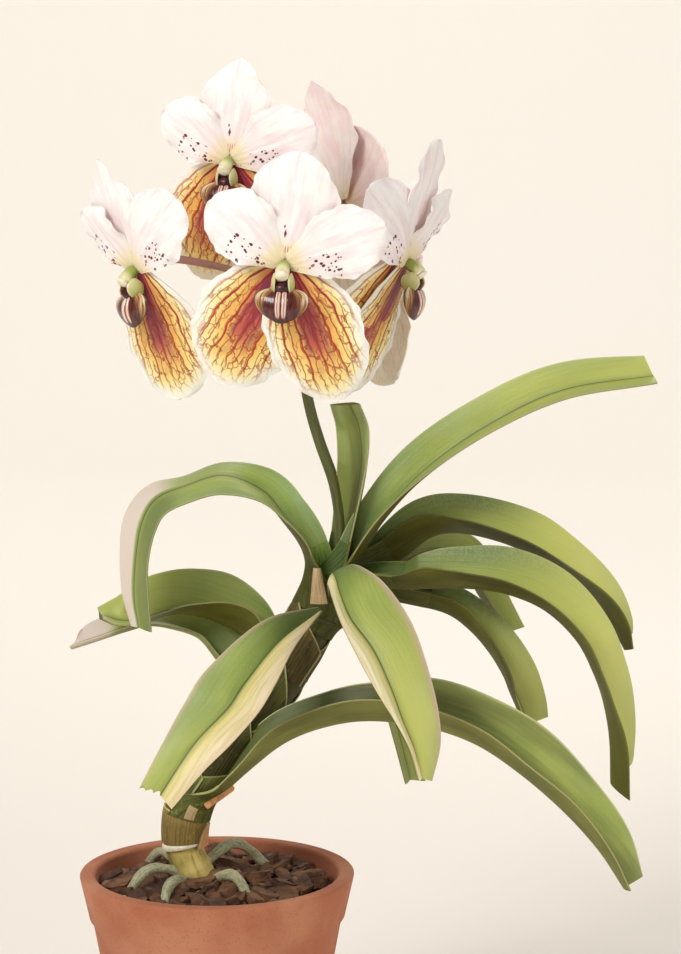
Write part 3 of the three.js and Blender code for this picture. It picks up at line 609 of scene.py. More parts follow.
# %% Leaves
KEEL_THICKNESS = 2.4
LEAF_JOINT_AT = 15
NOTCH_START = 0.85
FOLD_SHARPNESS = 0.14
WIDTH_PLACES = [0, 0.12, 0.4, 0.75, 0.93, 1]
WIDTH_SHARES = [0.7, 0.85, 1, 0.94, 0.72, 0.5]
LEAST_REACH = 0.2
LEAVES = {
    "top_right": dict(
        keel=[(66, 0, 264), (84, -4, 294), (107, -10, 320), (139, -16, 343), (173, -20, 359),
              (216, -22, 366)],
        side=1, width=31, near=[4, 3, 0, -1.5, -2.5, -2.5], far=[11, 13.5, 15.5, 15, 14, 11], lobes=(-3, 1),
    ),
    "upright": dict(
        keel=[(64, 6, 262), (70, 4, 294), (74, 0, 320), (73, -6, 339), (68, -12, 352)],
        side=1, width=27, near=[1, 0, -1, -3, -4], far=[8, 11, 13, 12.5, 10], lobes=(3, 1), top="shaded",
    ),
    "right_high": dict(
        keel=[(79, 10, 263), (93, 9, 271), (108, 8, 283), (123, 6, 286), (143, 4, 282), (160, 2, 275),
              (178, 0, 265), (192, -2, 252), (200, -4, 239), (206, -5, 228)],
        side=1, width=34, near=[9, 14, 13, 8, 6, 5.5, 4, 6, 7, 3],
        far=[15, 18.5, 19.5, 18.5, 19, 19, 15, 13, 10.5, 7], lobes=(-5, 1), top="right",
    ),
    "right_mid": dict(
        keel=[(80, -5, 261), (95, -11, 260), (108, -15, 261), (124, -19, 262), (144, -22, 260),
              (164, -24, 252), (180, -26, 237), (189, -27, 220), (194, -28, 205), (197, -28, 186),
              (198, -26, 164)],
        side=1, width=36, near=[3, 8, 11.5, 9, 7, 4.5, 3.5, 2.5, 3, 6.5, 8],
        far=[6, 12.5, 17.5, 19.5, 21.5, 20.5, 18, 16, 14.5, 12.5, 10], lobes=(-9, 8), top="right",
    ),
    "right_low": dict(
        keel=[(89, 2, 250), (104, 1, 249), (118, 0, 245), (129, -2, 237), (138, -4, 227), (145, -6, 216),
              (149, -6, 207), (153, -6, 198), (156, -6, 189)],
        side=1, width=31, near=[9, 8.5, 8, 6.5, 4.5, 3, 0.5, -0.5, -1.5],
        far=[12, 13, 13.5, 14, 15, 15.5, 15.5, 14, 12], lobes=(0, 0), top="right",
    ),
    "back_right": dict(
        keel=[(69, 16, 253), (91, 28, 260), (110, 40, 267), (125, 48, 265), (136, 50, 246), (150, 50, 226)],
        side=1, width=28, near=[6, 8, 6, 4, 3, 2], far=[10, 13, 13.5, 13.5, 13, 9], lobes=(3, 1),
    ),
    "front": dict(
        keel=[(60, -1, 250), (59.5, -20, 268), (62.5, -40, 261), (67.5, -54, 251), (78, -66, 238.5),
              (86, -76, 223), (91.5, -80, 208), (97, -80, 194), (101, -78, 179)],
        near_line=[(57, -3, 252), (56.5, -27, 264), (58.5, -47, 261), (63, -62, 251), (71, -76, 237),
                   (79.5, -84, 222.5), (88.5, -86, 208), (95.5, -84, 194), (100, -80, 178)],
        far_line=[(63, 0, 255), (67, -14, 271.5), (80, -34, 269.5), (91, -48, 259), (99, -60, 246),
                  (106, -70, 225), (109.7, -75, 208), (110.3, -76, 194), (106.5, -76, 177)],
        side=1, width=42, bulge=2.2, top="front",
    ),
    "behind_front": dict(
        keel=[(62, 14, 246), (75, 18, 228), (85, 20, 202), (92, 20, 178), (98, 18, 155)],
        side=1, width=22, near=[0, -1, -2, -2, -2], far=[7, 9, 10, 9.5, 8], lobes=(3, 1),
    ),
    "low_right": dict(
        keel=[(-5, -6, 147), (17, -14, 169), (35, -20, 184), (55, -25, 193), (77, -29, 197), (104, -32, 195),
              (129, -34, 187), (151, -36, 173), (173, -38, 154), (191, -38, 134), (204, -36, 114)],
        side=1, width=36, near=[5, 6, 10, 11.5, 12.5, 11, 9, 6.5, 7, 4.5, 1.5],
        far=[9, 10.5, 13.5, 14, 17.5, 23, 23, 24, 20.5, 17, 10], lobes=(1, 0), top="shaded",
        clasp=1.4, hold=11,
    ),
    "left_arch": dict(
        keel=[(49, 2, 263), (44, 0, 279), (35, -4, 293), (24, -7, 307), (5, -9, 315), (-14, -12, 310),
              (-28, -14, 304), (-35, -14, 292), (-38, -14, 274), (-39, -13, 256), (-37, -12, 240)],
        side=-1, width=30, near=[0.5, 3, 2, -2.5, -7, -6, -7, -7, -6, -7, -5.5],
        far=[10, 12.5, 13.5, 11.5, 5.5, 4.5, 8, 10.5, 9.5, 7.5, 5], lobes=(0, 2), top="left_arch",
    ),
    "left_mid": dict(
        keel=[(34, 9, 205), (23, 12, 221), (12, 15, 232), (-1, 16, 239), (-14, 15, 243), (-26, 14, 243),
              (-39, 12, 239), (-50, 10, 239), (-59, 8, 242)],
        side=-1, width=36, near=[5.5, 8, 14, 12, 7, 3, 1.5, 1, 1],
        far=[10, 13.5, 20.5, 24, 22, 20, 18.5, 13, 2], lobes=(1, 0),
    ),
    "left_low": dict(
        keel=[(22, 9, 183), (11, 15, 203), (-2, 22, 221), (-10, 26, 229), (-22, 28, 233), (-35, 28, 235),
              (-48, 27, 232), (-62, 25, 227.5), (-74.6, 24, 223.5)],
        side=-1, width=28, near=[3, 3, 2.5, 2.5, 2, 1.5, 1.5, 1.5, 1],
        far=[13, 15.5, 16, 14.5, 11, 8.5, 8.5, 8, 6], lobes=(-6, 1), top="left_low",
    ),
    "front_left": dict(
        keel=[(52.5, -4, 246), (33, -38, 237.5), (17, -62, 221.5), (9, -72, 211), (-4.5, -82, 198.5),
              (-14, -87, 186), (-22.5, -88, 173)],
        near_line=[(53.5, -6, 247), (40.5, -44, 236), (32, -68, 223), (24, -78, 211), (11, -88, 197.5),
                   (-2, -91, 185), (-17, -91, 167)],
        far_line=[(51.5, -4, 249), (25, -38, 248), (-1, -62, 229), (-12, -72, 213.5), (-21.5, -82, 197),
                  (-28, -86, 185), (-33, -88, 175.5)],
        side=-1, width=42, bulge=1.6, ragged=2.2, top="front_left",
    ),
}
LEAF_GRID = (22, 72)
LEAF_MARGIN = 0.28
TEETH = 9
TEETH_START = 0.97


def folded(across):
    """How far a point lies towards the near margin, and towards the far one: a fold, rounded at the keel."""
    k = FOLD_SHARPNESS
    bend = (np.sqrt(across**2 + k * k) - k) / (math.sqrt(1 + k * k) - k)
    return (bend + across) / 2, (bend - across) / 2


def drawn_margins(leaf, share):
    """The two margins of a leaf that comes towards the viewer, as steps from its keel."""
    place = share * (len(leaf["keel"]) - 1)
    keel, near, far = (spline(leaf[curve], place) for curve in ("keel", "near_line", "far_line"))
    return keel, near - keel, far - keel


def risen_margins(leaf, path, share):
    """The two margins of a leaf seen from its side, from how far each one rises above the keel."""
    place = share * (len(leaf["keel"]) - 1)
    direction = path.along(path.share_of(place))
    to_viewer, sideways = viewer_axes(direction)
    half = leaf["width"] / 2 * np.interp(share, WIDTH_PLACES, WIDTH_SHARES)
    pull = np.clip((share - NOTCH_START) / (1 - NOTCH_START), 0, 1)[:, None] ** 2
    steps = []
    for margin, towards, lobe in (("near", 1, leaf["lobes"][1]), ("far", -1, leaf["lobes"][0])):
        up = smooth(leaf[margin], share)
        out = np.sqrt(np.maximum(half**2 - up**2, (LEAST_REACH * half) ** 2)) * towards
        rise = sideways * leaf["side"] * up[:, None]
        steps.append(rise + to_viewer * out[:, None] + direction * lobe * pull)
    return spline(leaf["keel"], place), *steps


def leaf_points(leaf, path, across, share):
    """Points of a leaf's middle surface, for shares across and along its keel."""
    drawn = "near_line" in leaf
    keel, to_near, to_far = drawn_margins(leaf, share) if drawn else risen_margins(leaf, path, share)
    near_share, far_share = folded(across)
    points = keel + to_near * near_share[:, None] + to_far * far_share[:, None]
    swell = leaf.get("bulge", 0) * 4 * np.abs(across) * (1 - np.abs(across)) * np.sin(np.pi * share)
    points = points + FRONT * swell[:, None]
    late = np.clip((share - TEETH_START) / (1 - TEETH_START), 0, 1)
    teeth = leaf.get("ragged", 0) * np.abs(np.sin(TEETH * across)) * late
    points = points - path.along(share) * (teeth * (across < 0))[:, None]
    half = np.where(across > 0, np.linalg.norm(to_near, axis=1), np.linalg.norm(to_far, axis=1))
    return points, sheet_marks(across, share, half, share * path.length)


for name, leaf in LEAVES.items():
    path = Path(leaf["keel"])
    joint = 0 if "near_line" in leaf else LEAF_JOINT_AT / path.length

    def place(across, along):
        return leaf_points(leaf, path, across, joint + (1 - joint) * along)

    top = leaf.get("top", "plain")
    looks = [LEAF_TOPS[top], LEAF_UNDERS.get(top, LEAF_UNDERS["plain"])]
    piece = sheet_piece("blade_" + name, LEAF_GRID, place, KEEL_THICKNESS, looks, LEAF_MARGIN, leaf["side"])
    hand_over(piece, "leaf_" + name)
print("leaves:", len(LEAVES), "with", sum(len(p.data.polygons) for p in made_pieces), "faces")

# %% [markdown]
# ## Stem, sheaths and roots
#
# The old stem leans and is wrapped in the bases of leaves. Low down the leaves are long gone: what is
# left are woody rings, a cream scar line and torn tan remnants. Higher up each leaf clasps the stem in a
# sheath, whose pale margins cross the front as slanting lines. The stem is a tube along a curve; a
# sheath is a sheet wrapped round it, open on one side.

# %% Stem finishes
def woody(name, base, dark, light, stripe):
    """Fibres along a tube, over broad blotches."""
    finish = Finish(name, Roughness=0.75)
    x, y, z = finish.mark("round")
    fibres = finish.streaks(x * 1.3, y * 1.3, z * 0.06, detail=4)
    blotches = finish.streaks(x * 0.25, y * 0.25, z * 0.12, detail=3)
    finish.tone = finish.mix(blotches.fade(0.35, 0.65), base, light)
    finish.coat(dark, fibres.fade(0.48, 0.7) * stripe)
    return finish, fibres, blotches


def stem_finish():
    finish, fibres, blotches = woody("old_stem", "b9a452", "7a6a31", "d8c476", 0.7)
    side, up, _ = finish.mark("blade")
    finish.coat("75692f", side.fade(0.1, 0.9) * 0.55)
    finish.coat("4b4a22", up.fade(0.24, 0.3))
    return finish.paint(fibres + blotches * 0.5, 0.0005)


def sheath_finish(name, base, dark, light, margin):
    """Fibrous sheath, speckled, with one pale line along its free margin."""
    finish = Finish(name, Roughness=0.6, Specular_IOR_Level=0.25)
    across, along, _ = finish.mark("blade")
    x, y, _ = finish.mark("flat")
    fibres = finish.streaks(x * 1.4, y * 0.07, detail=4)
    spots = finish.noise(finish.place(), 420, 2)
    finish.tone = finish.mix(along.fade(0.55, 1.0) * 0.55, base, light)
    finish.coat(dark, fibres.fade(0.42, 0.68) * 0.7)
    finish.coat(light, spots.fade(0.6, 0.72) * 0.45)
    rim = finish.maths("MAXIMUM", abs(across).fade(0.955, 0.985), along.fade(0.955, 0.98))
    finish.coat(margin, rim * 0.85)
    return finish.paint(fibres + finish.maths("SINE", x * 4.0) * 0.1, 0.0004)


old_stem = stem_finish()
green_sheath = sheath_finish("leaf_sheath", "45401b", "262008", "74783a", "b2b37c")
brown_sheath = sheath_finish("brown_sheath", "4f431e", "2a2009", "7b6a3a", "a9a26a")
grassy_sheath = sheath_finish("grassy_sheath", "5c5f2a", "343412", "8d924c", "a9ae70")
leaf_foot = sheath_finish("leaf_foot", "4b4d17", "2b2b0a", "5f6429", "6c7034")
leaf_foot_inside = sheath_finish("leaf_foot_inside", "52652d", "425424", "5f7236", "7d8b48")
leaf_foot_pale = sheath_finish("leaf_foot_pale", "7f9a48", "627a37", "94ab58", "a9b96c")
sheath_inside = sheath_finish("sheath_inside", "6f6a3a", "4b4524", "8b8550", "a9b273")
tan_scale = sheath_finish("tan_scale", "dba673", "a8743f", "ecc494", "8a6a3a")
khaki_collar = sheath_finish("khaki_collar", "86703a", "5a4c22", "b0935a", "ecd07c")
buff_bract = sheath_finish("buff_bract", "b99f76", "967b50", "cdb58c", "7d643e")
print("stem finishes ready")

# %% [markdown]
# The stem is one tube. Its width and depth change along the way, and a low ridge every 15 mm marks where a
# leaf once joined. It could be a curve with a bevel, but a curve has no rings to shape.

# %% Stem
STEM_PATH = [(-2, 0, 86), (-6, 0, 102), (-14, 0, 117), (-17, 0, 129), (-14, 0, 146), (-2, 0, 165),
             (12, 0, 187), (27, 0, 207), (41, 2, 228), (52, 4, 249), (60, 4, 264)]
STEM_WIDTH = [9, 9, 9.5, 10, 10, 11.5, 13, 13.5, 13, 11, 6]
STEM_DEPTH = [9, 9, 9.5, 9.5, 9, 8.5, 8.5, 8.5, 8, 7, 5]
STEM_GRID = (48, 120)
STEM_CAP = 5
RING_SPACING = 15
RING_HEIGHT = 0.9
RIBS = 9
RIB_HEIGHT = 0.25

stem_path = Path(STEM_PATH)


def stem_radius(stations):
    def radius(share, angle):
        ring = np.maximum(0, np.cos(2 * np.pi * share * stem_path.length / RING_SPACING)) ** 12
        ribs = RIB_HEIGHT * np.sin(RIBS * angle) * np.clip((0.5 - share) * 6, 0, 1)
        return even(stations, share) + RING_HEIGHT * ring + ribs

    return radius


width, depth = stem_radius(STEM_WIDTH), stem_radius(STEM_DEPTH)
stem = tube_piece("stem_core", STEM_GRID, stem_path, width, depth, (0, STEM_CAP))
hand_over(stem, "stem", old_stem)
print("stem length", round(stem_path.length), "mm")

# %% [markdown]
# The foot of a strap leaf clasps the stem. It is a sheet of its own, from a band wrapped round the stem to
# the joint where the blade starts, and each row runs smoothly from the one to the other.

# %% Leaf sheaths
FOOT_GRID = (18, 16)
FOOT_THICKNESS = 2.6
FOOT_HALF = 12
FOOT_LENGTH = 30
FOOT_BELOW_JOINT = 16
FOOT_CLEARANCE = 0.6
FOOT_MARGIN = 0.9
LOWEST_HOLD = 0.05
WRAP = math.radians(150)
FOOT_FINISHES = {"low_right": grassy_sheath, "left_mid": brown_sheath, "left_low": grassy_sheath}


def wrap_point(share, angle, clearance):
    """A point round the stem, given by share of its length and angle from the side axis."""
    direction = stem_path.along(share)
    to_viewer, sideways = viewer_axes(direction)
    width, depth = (even(stations, share) + clearance for stations in (STEM_WIDTH, STEM_DEPTH))
    around = sideways * (np.cos(angle) * width)[:, None] + to_viewer * (np.sin(angle) * depth)[:, None]
    return stem_path.at(share) + around, direction


def foot_place(leaf):
    path = Path(leaf["keel"])
    joint = LEAF_JOINT_AT / path.length
    shares = np.linspace(0.2, 1, 200)
    nearest = shares[np.argmin(np.linalg.norm(stem_path.at(shares) - np.array(leaf["keel"][0]), axis=1))]
    low = max(LOWEST_HOLD, nearest - leaf.get("hold", FOOT_BELOW_JOINT) / stem_path.length)

    def place(across, along):
        ones = np.ones_like(across)
        top, _ = leaf_points(leaf, path, across, joint * ones)
        centre, middle = stem_path.at(low * ones), path.at(joint * ones)
        to_viewer, sideways = viewer_axes(stem_path.along(low * ones))
        lean = middle - stem_path.at(nearest * ones)
        heading = np.arctan2((lean * to_viewer).sum(1)[0], (lean * sideways).sum(1)[0])
        clearance = leaf.get("clasp", FOOT_CLEARANCE)
        bands = [wrap_point(low * ones, heading + turn * WRAP * across, clearance) for turn in (1, -1)]
        offset = top - middle + centre
        start, tangent = min(bands, key=lambda band: np.linalg.norm(band[0] - offset, axis=1).sum())
        reach = np.linalg.norm(top - start, axis=1, keepdims=True)
        u = along[:, None]
        points = (
            (2 * u**3 - 3 * u**2 + 1) * start
            + (u**3 - 2 * u**2 + u) * tangent * reach
            + (3 * u**2 - 2 * u**3) * top
            + (u**3 - u**2) * path.along(joint * ones) * reach
        )
        half = FOOT_HALF + along * (leaf["width"] / 2 - FOOT_HALF)
        return points, sheet_marks(across, along * FOOT_MARGIN, half, along * FOOT_LENGTH)

    return place


feet = {name: leaf for name, leaf in LEAVES.items() if "near_line" not in leaf}
for name, leaf in feet.items():
    finishes = [
        leaf_foot_pale if name == "left_arch" else leaf_foot_inside,
        FOOT_FINISHES.get(name, leaf_foot),
    ]
    place = foot_place(leaf)
    piece = sheet_piece("sheath_" + name, FOOT_GRID, place, FOOT_THICKNESS, finishes, facing=leaf["side"])
    hand_over(piece, "stem")
print("leaf feet:", len(feet))

# %% [markdown]
# Between the leaves that remain, older sheaths still wrap the stem. Each is an open tube whose two free
# margins meet at the front in a V and rise to the back, and the next sheath comes out of the V. One
# margin lies over the other, so the wrap is wound as a slight spiral.

# %% Old sheaths
SHEATH_TURN = math.radians(186)
SHEATH_GRID = (64, 20)
SHEATH_THICKNESS = 0.8
SHEATH_BELOW_APEX = 0.09
SHEATH_HALF = 40
SHEATH_CLEARANCE = 0.5
SHEATH_FLARE = 0.9
SHEATH_SPIRAL = 0.35
STEM_END = 0.97
OLD_SHEATHS = [
    dict(apex=0.40, opens=75, rise=0.12, finish=grassy_sheath),
    dict(apex=0.45, opens=35, rise=0.26, finish=green_sheath),
    dict(apex=0.51, opens=143, rise=0.28, finish=green_sheath),
    dict(apex=0.64, opens=150, rise=0.29, finish=green_sheath),
    dict(apex=0.81, opens=140, rise=0.16, finish=brown_sheath),
]

for index, sheath in enumerate(OLD_SHEATHS):

    def place(across, along):
        start = sheath["apex"] - SHEATH_BELOW_APEX
        top = sheath["apex"] + sheath["rise"] * (1 - np.abs(across))
        share = start + (top - start) * along
        angle = math.radians(sheath["opens"]) + math.pi + SHEATH_TURN * across
        clearance = SHEATH_CLEARANCE + SHEATH_FLARE * along**2 + SHEATH_SPIRAL * across
        points, _ = wrap_point(np.clip(share, 0, STEM_END), angle, clearance)
        return points, sheet_marks(across, along, SHEATH_HALF, share * stem_path.length)

    finishes = [sheath["finish"], sheath_inside]
    piece = sheet_piece(f"old_sheath_{index}", SHEATH_GRID, place, SHEATH_THICKNESS, finishes, 0.7)
    hand_over(piece, "stem")
print("old sheaths:", len(OLD_SHEATHS))

# %% [markdown]
# The leafless foot shows what each fallen leaf left behind: a khaki collar with a golden rim, a cream ring
# where the next one broke off, a torn tan scale, a tan strip and a stub that juts out. The first four lie on
# the stem, so each is given by an angle round it and a share of its length. The stub is a cube, drawn out
# and bevelled. A small buff bract, higher up where the leaves part, is a sheet between two points.

# %% Scars at the foot
PATCH_THICKNESS = 1.2
PATCH_LIFT = 0.7
PATCH_HALF = 10
PATCH_MARGIN = 0.9
MM_PER_DEGREE = 0.17


def patch_place(middle, reach, low, high, narrow=0.0, lift=0.6, bow=0.0):
    """A patch on the stem: round by middle and reach in degrees, narrowing upwards, from low to high."""

    def place(across, along):
        angle = np.radians(middle + reach * across * (1 - narrow * along))
        share = low + (high + bow * across**2 - low) * along
        points, _ = wrap_point(share, angle, lift + PATCH_LIFT * along)
        flat = columns(across * reach * MM_PER_DEGREE, share * stem_path.length, 0.0)
        return points, {"blade": columns(across * PATCH_MARGIN, along, PATCH_HALF), "flat": flat}

    return place


FOOT_PATCHES = {
    "collar": (patch_place(90, 181, 0.222, 0.296, lift=1.1, bow=0.008), khaki_collar, (48, 10)),
    "torn_scale": (patch_place(156, 30, 0.2, 0.288, 0.8, 2.3), tan_scale, (10, 10)),
    "tan_strip": (patch_place(98, 12, 0.292, 0.33, 0.1, 2.2), buff_bract, (8, 8)),
}
for name, (place, finish, grid) in FOOT_PATCHES.items():
    piece = sheet_piece(name, grid, place, PATCH_THICKNESS, [finish, sheath_inside], 0.8)
    hand_over(piece, "stem")

RING_GRID = (64, 12)
RING_AT = 0.215
RING_TILT = 0.003
RING_BREADTH = 0.0065
RING_CLEARANCE = 0.9
RING_BULGE = 0.8


def ring_place(across, along):
    """A thin band round the stem, lower on its left."""
    angle, turn = np.pi * across, 2 * np.pi * along
    share = RING_AT - RING_TILT * np.cos(angle) + RING_BREADTH * np.sin(turn)
    points, _ = wrap_point(share, angle, RING_CLEARANCE + RING_BULGE * np.cos(turn))
    return points, {"round": columns(angle * 10, turn, 0.0), "blade": columns(np.cos(angle), turn, turn)}


def cream_finish():
    finish, fibres, _ = woody("cream_scar", "eadfc2", "a8946c", "f4ecd6", 0.5)
    return finish.paint(fibres, 0.0003)


ring = grid_piece("scar_ring", RING_GRID, ring_place)
tidy_mesh(ring)
hand_over(ring, "stem", cream_finish())

STUB_FROM, STUB_TO = Vector((-5.5, -10.5, 148.5)), Vector((8.5, -11.5, 159))
STUB_SECTION = (4.5, 4.6)
STUB_BEVEL = 1.2


def stub_finish():
    finish = Finish("leaf_stub", Roughness=0.7)
    grain = finish.noise(finish.place(), 300, 3)
    finish.tone = finish.mix(grain.fade(0.4, 0.7), "dba268", "b97e48")
    return finish.paint(grain, 0.0004)


bpy.ops.object.select_all(action="DESELECT")
bpy.ops.mesh.primitive_cube_add(size=1)
stub = bpy.context.object
stub.name = "leaf_stub"
run = STUB_TO - STUB_FROM
stub.data.transform(Matrix.Diagonal((run.length * MM, STUB_SECTION[0] * MM, STUB_SECTION[1] * MM, 1)))
turn = run.to_track_quat("X", "Z").to_matrix().to_4x4()
stub.data.transform(Matrix.Translation((STUB_FROM + STUB_TO) / 2 * MM) @ turn)
apply(stub, "BEVEL", width=STUB_BEVEL * MM, segments=4)
tidy_mesh(stub)
hand_over(stub, "stem", stub_finish())

BRACT_BASE, BRACT_TOP = np.array([52.0, -13, 252.0]), np.array([51.0, -9, 269.5])
BRACT_HALF = 4.3
BRACT_LENGTH = 24
BRACT_THICKNESS = 1
BRACT_NARROWS = 0.6
BRACT_BOW = 1.5
BRACT_GRID = (10, 14)


def bract_place(across, along):
    half = BRACT_HALF * (1 - BRACT_NARROWS * along)
    points = BRACT_BASE + (BRACT_TOP - BRACT_BASE) * along[:, None]
    points = points + columns(across * half, -BRACT_BOW * (1 - across**2), 0.0)
    return points, sheet_marks(across, along * FOOT_MARGIN, half, along * BRACT_LENGTH)


bract = sheet_piece("bract", BRACT_GRID, bract_place, BRACT_THICKNESS, [buff_bract, buff_bract], 0.6)
hand_over(bract, "stem")
print("foot pieces:", len(FOOT_PATCHES) + 3)

# %% [markdown]
# Aerial roots are thick, round and silvery green, because a spongy skin covers them. Five of them leave the
# foot and dive into the bark. Each is a tube along a curve of four points.

# %% Roots
ROOT_RUNS = [
    [(-13, 0, 110), (-34, -13, 116), (-47, -20, 98), (-47, -20, 84)],
    [(-10, 0, 106), (-22, -28, 113), (-26, -44, 96), (-26, -44, 82)],
    [(-7, 0, 105), (10, -22, 115), (21, -37, 96), (21, -37, 82)],
    [(-9, 0, 114), (10, 16, 122), (30, 28, 98), (30, 28, 84)],
    [(-12, 0, 110), (-30, 22, 116), (-40, 34, 98), (-40, 34, 84)],
]
ROOT_RADIUS = 2.7
ROOT_GRID = (16, 48)
ROOT_CAP = 3


def root_finish():
    finish = Finish("root_skin", Roughness=0.8)
    x, y, z = finish.mark("round")
    speckle = finish.streaks(x * 1.2, y * 1.2, z * 0.5, detail=4)
    finish.tone = finish.mix(speckle.fade(0.35, 0.7), "b9b596", "8d9068")
    finish.coat("8a7a55", finish.streaks(x, y, z * 0.12).fade(0.5, 0.75) * 0.5)
    return finish.paint(speckle, 0.0004)


root_skin = root_finish()
for index, run in enumerate(ROOT_RUNS):

    def radius(share, angle):
        knobs = 0.25 * np.sin(17 * share + index) + 0.15 * np.sin(41 * share + 2 * angle)
        return ROOT_RADIUS + knobs

    piece = tube_piece(f"root_{index}", ROOT_GRID, Path(run), radius, radius, (ROOT_CAP, ROOT_CAP))
    hand_over(piece, "stem", root_skin)
print("roots:", len(ROOT_RUNS))

# %% [markdown]
# ## Pot and potting bark
#
# The picture shows the plant without a pot, so this one is plain: a thrown clay pot with a rim band. Its
# profile is built as a potter would read it, ring by ring: a circle is extruded and resized up the
# outside, over the rim and down the inside. Four drain holes are cut through the floor. Spinning a drawn
# profile would do as well, but the rings keep every height and radius in one short list.

# %% Pot
POT_SIDES = 96
POT_RINGS = [(47, 0), (63.07, 87), (65.07, 90), (70, 112), (62, 112), (42, 8)]
POT_BEVEL = 1.5
DRAIN_HOLES = 4
DRAIN_SIDES = 24
DRAIN_RADIUS = 4.5
DRAIN_CIRCLE = 28
DRILL_LENGTH = 30


def clay_finish():
    finish = Finish("clay", Roughness=0.85)
    where = finish.place()
    cloud = finish.noise(where, 22, 4)
    grit = finish.noise(where, 900, 2)
    height = finish.node("SeparateXYZ", None, {0: where}, out=2)
    rings = finish.streaks(0.0, 0.0, height * 420, detail=2)
    finish.tone = finish.mix(cloud.fade(0.35, 0.7), "ab6546", "bf8261")
    finish.coat("8f4a2e", grit.fade(0.55, 0.72) * 0.35)
    bloom = finish.noise(where, 35, 5).fade(0.52, 0.72) * height.fade(0.06, 0.0)
    finish.coat("d9c3ad", bloom * 0.6)
    damp = (finish.noise(where, 14, 4) + height * 4).fade(0.75, 0.55)
    finish.coat("8a4d33", damp * 0.35)
    return finish.paint(rings * 0.6 + grit * 0.4, 0.0004)


bpy.ops.object.select_all(action="DESELECT")
bpy.ops.mesh.primitive_circle_add(vertices=POT_SIDES, radius=POT_RINGS[0][0] * MM, fill_type="NGON")
pot = bpy.context.object
pot.name = "clay_pot"
bpy.ops.object.mode_set(mode="EDIT")
bpy.context.tool_settings.mesh_select_mode = (False, False, True)
bpy.ops.mesh.select_all(action="SELECT")
for (before, low), (radius, high) in zip(POT_RINGS, POT_RINGS[1:]):
    bpy.ops.mesh.extrude_region_move(TRANSFORM_OT_translate={"value": (0, 0, (high - low) * MM)})
    bpy.ops.transform.resize(value=(radius / before, radius / before, 1))
bpy.ops.object.mode_set(mode="OBJECT")
tidy_mesh(pot)
apply(pot, "BEVEL", width=POT_BEVEL * MM, segments=3, limit_method="ANGLE", angle_limit=math.radians(25))
for hole in range(DRAIN_HOLES):
    angle = math.radians(45 + 360 / DRAIN_HOLES * hole)
    spot = (math.cos(angle) * DRAIN_CIRCLE * MM, math.sin(angle) * DRAIN_CIRCLE * MM, 0)
    bpy.ops.mesh.primitive_cylinder_add(
        vertices=DRAIN_SIDES, radius=DRAIN_RADIUS * MM, depth=DRILL_LENGTH * MM, location=spot
    )
    drill = bpy.context.object
    apply(pot, "BOOLEAN", operation="DIFFERENCE", solver="EXACT", object=drill)
    bpy.data.objects.remove(drill)
tidy_mesh(pot, 35)
hand_over(pot, "pot", clay_finish())
print("pot faces:", len(pot.data.polygons))

# %% [markdown]
# Fir bark comes as flat flakes with a rough edge. Five flakes are shaped, each from a cube: it is
# subdivided, flattened, and its corners and faces are roughened by a seeded draw. Copies of them, each
# turned its own way, lie in a sunflower spiral, which covers a disc evenly without a plan. A round bed of
# the same finish lies below and closes the gaps.

# %% Bark
BARK_LEVEL = 104
BARK_CROWN = 4
BARK_REACH = 56
BED_RADIUS = 60
BED_THICKNESS = 6
BED_MIDDLE = 99
CHIP_COUNT = 110
CHIP_KINDS = 5
CORNER_STARTS = 0.8
GOLDEN_ANGLE = math.pi * (3 - math.sqrt(5))

draw = random.Random(7)


def bark_finish():
    finish = Finish("fir_bark", Roughness=0.9)
    where = finish.place()
    grain = finish.noise(where, 260, 5)
    finish.tone = finish.mix(finish.noise(where, 45, 2).fade(0.35, 0.65), "4d3222", "7d5638")
    finish.coat("2c1b12", grain.fade(0.45, 0.7) * 0.6)
    finish.coat("a78260", finish.noise(where, 110, 3).fade(0.58, 0.72) * 0.6)
    return finish.paint(grain, 0.0012)


def bark_chip():
    """One rough flake, 16 to 26 mm long, lying flat at the origin."""
    bpy.ops.object.select_all(action="DESELECT")
    bpy.ops.mesh.primitive_cube_add(size=1)
    chip = bpy.context.object
    bpy.ops.object.mode_set(mode="EDIT")
    bpy.ops.mesh.subdivide(number_cuts=3)
    size = (draw.uniform(16, 26) * MM, draw.uniform(11, 17) * MM, draw.uniform(3.5, 7) * MM)
    bpy.ops.transform.resize(value=size)
    bpy.ops.object.mode_set(mode="OBJECT")
    for vertex in chip.data.vertices:
        pull = 1 - 0.16 * draw.random()
        if abs(vertex.co.x / size[0]) + abs(vertex.co.y / size[1]) > CORNER_STARTS:
            pull -= 0.22 * draw.random()
        vertex.co.x *= pull
        vertex.co.y *= pull
        vertex.co.z += draw.uniform(-0.6, 0.6) * MM
    return chip


chips = [bark_chip() for _ in range(CHIP_KINDS)]
heap = []
for index in range(CHIP_COUNT):
    share = math.sqrt((index + 0.5) / CHIP_COUNT)
    angle = index * GOLDEN_ANGLE
    chip = chips[index % CHIP_KINDS].copy()
    chip.data = chip.data.copy()
    bpy.context.collection.objects.link(chip)
    height = BARK_LEVEL + BARK_CROWN * (1 - share**2) - 2 + 5 * draw.random()
    spot = Vector((math.cos(angle) * share * BARK_REACH, math.sin(angle) * share * BARK_REACH, height)) * MM
    lean = [draw.uniform(-0.45, 0.45), draw.uniform(-0.45, 0.45), draw.uniform(0, 2 * math.pi)]
    size = draw.uniform(0.6, 1.05) * (1 - 0.3 * share)
    chip.matrix_world = Matrix.LocRotScale(spot, Euler(lean), (size, size, size))
    heap.append(chip)
for chip in chips:
    bpy.data.objects.remove(chip)
bpy.ops.object.select_all(action="DESELECT")
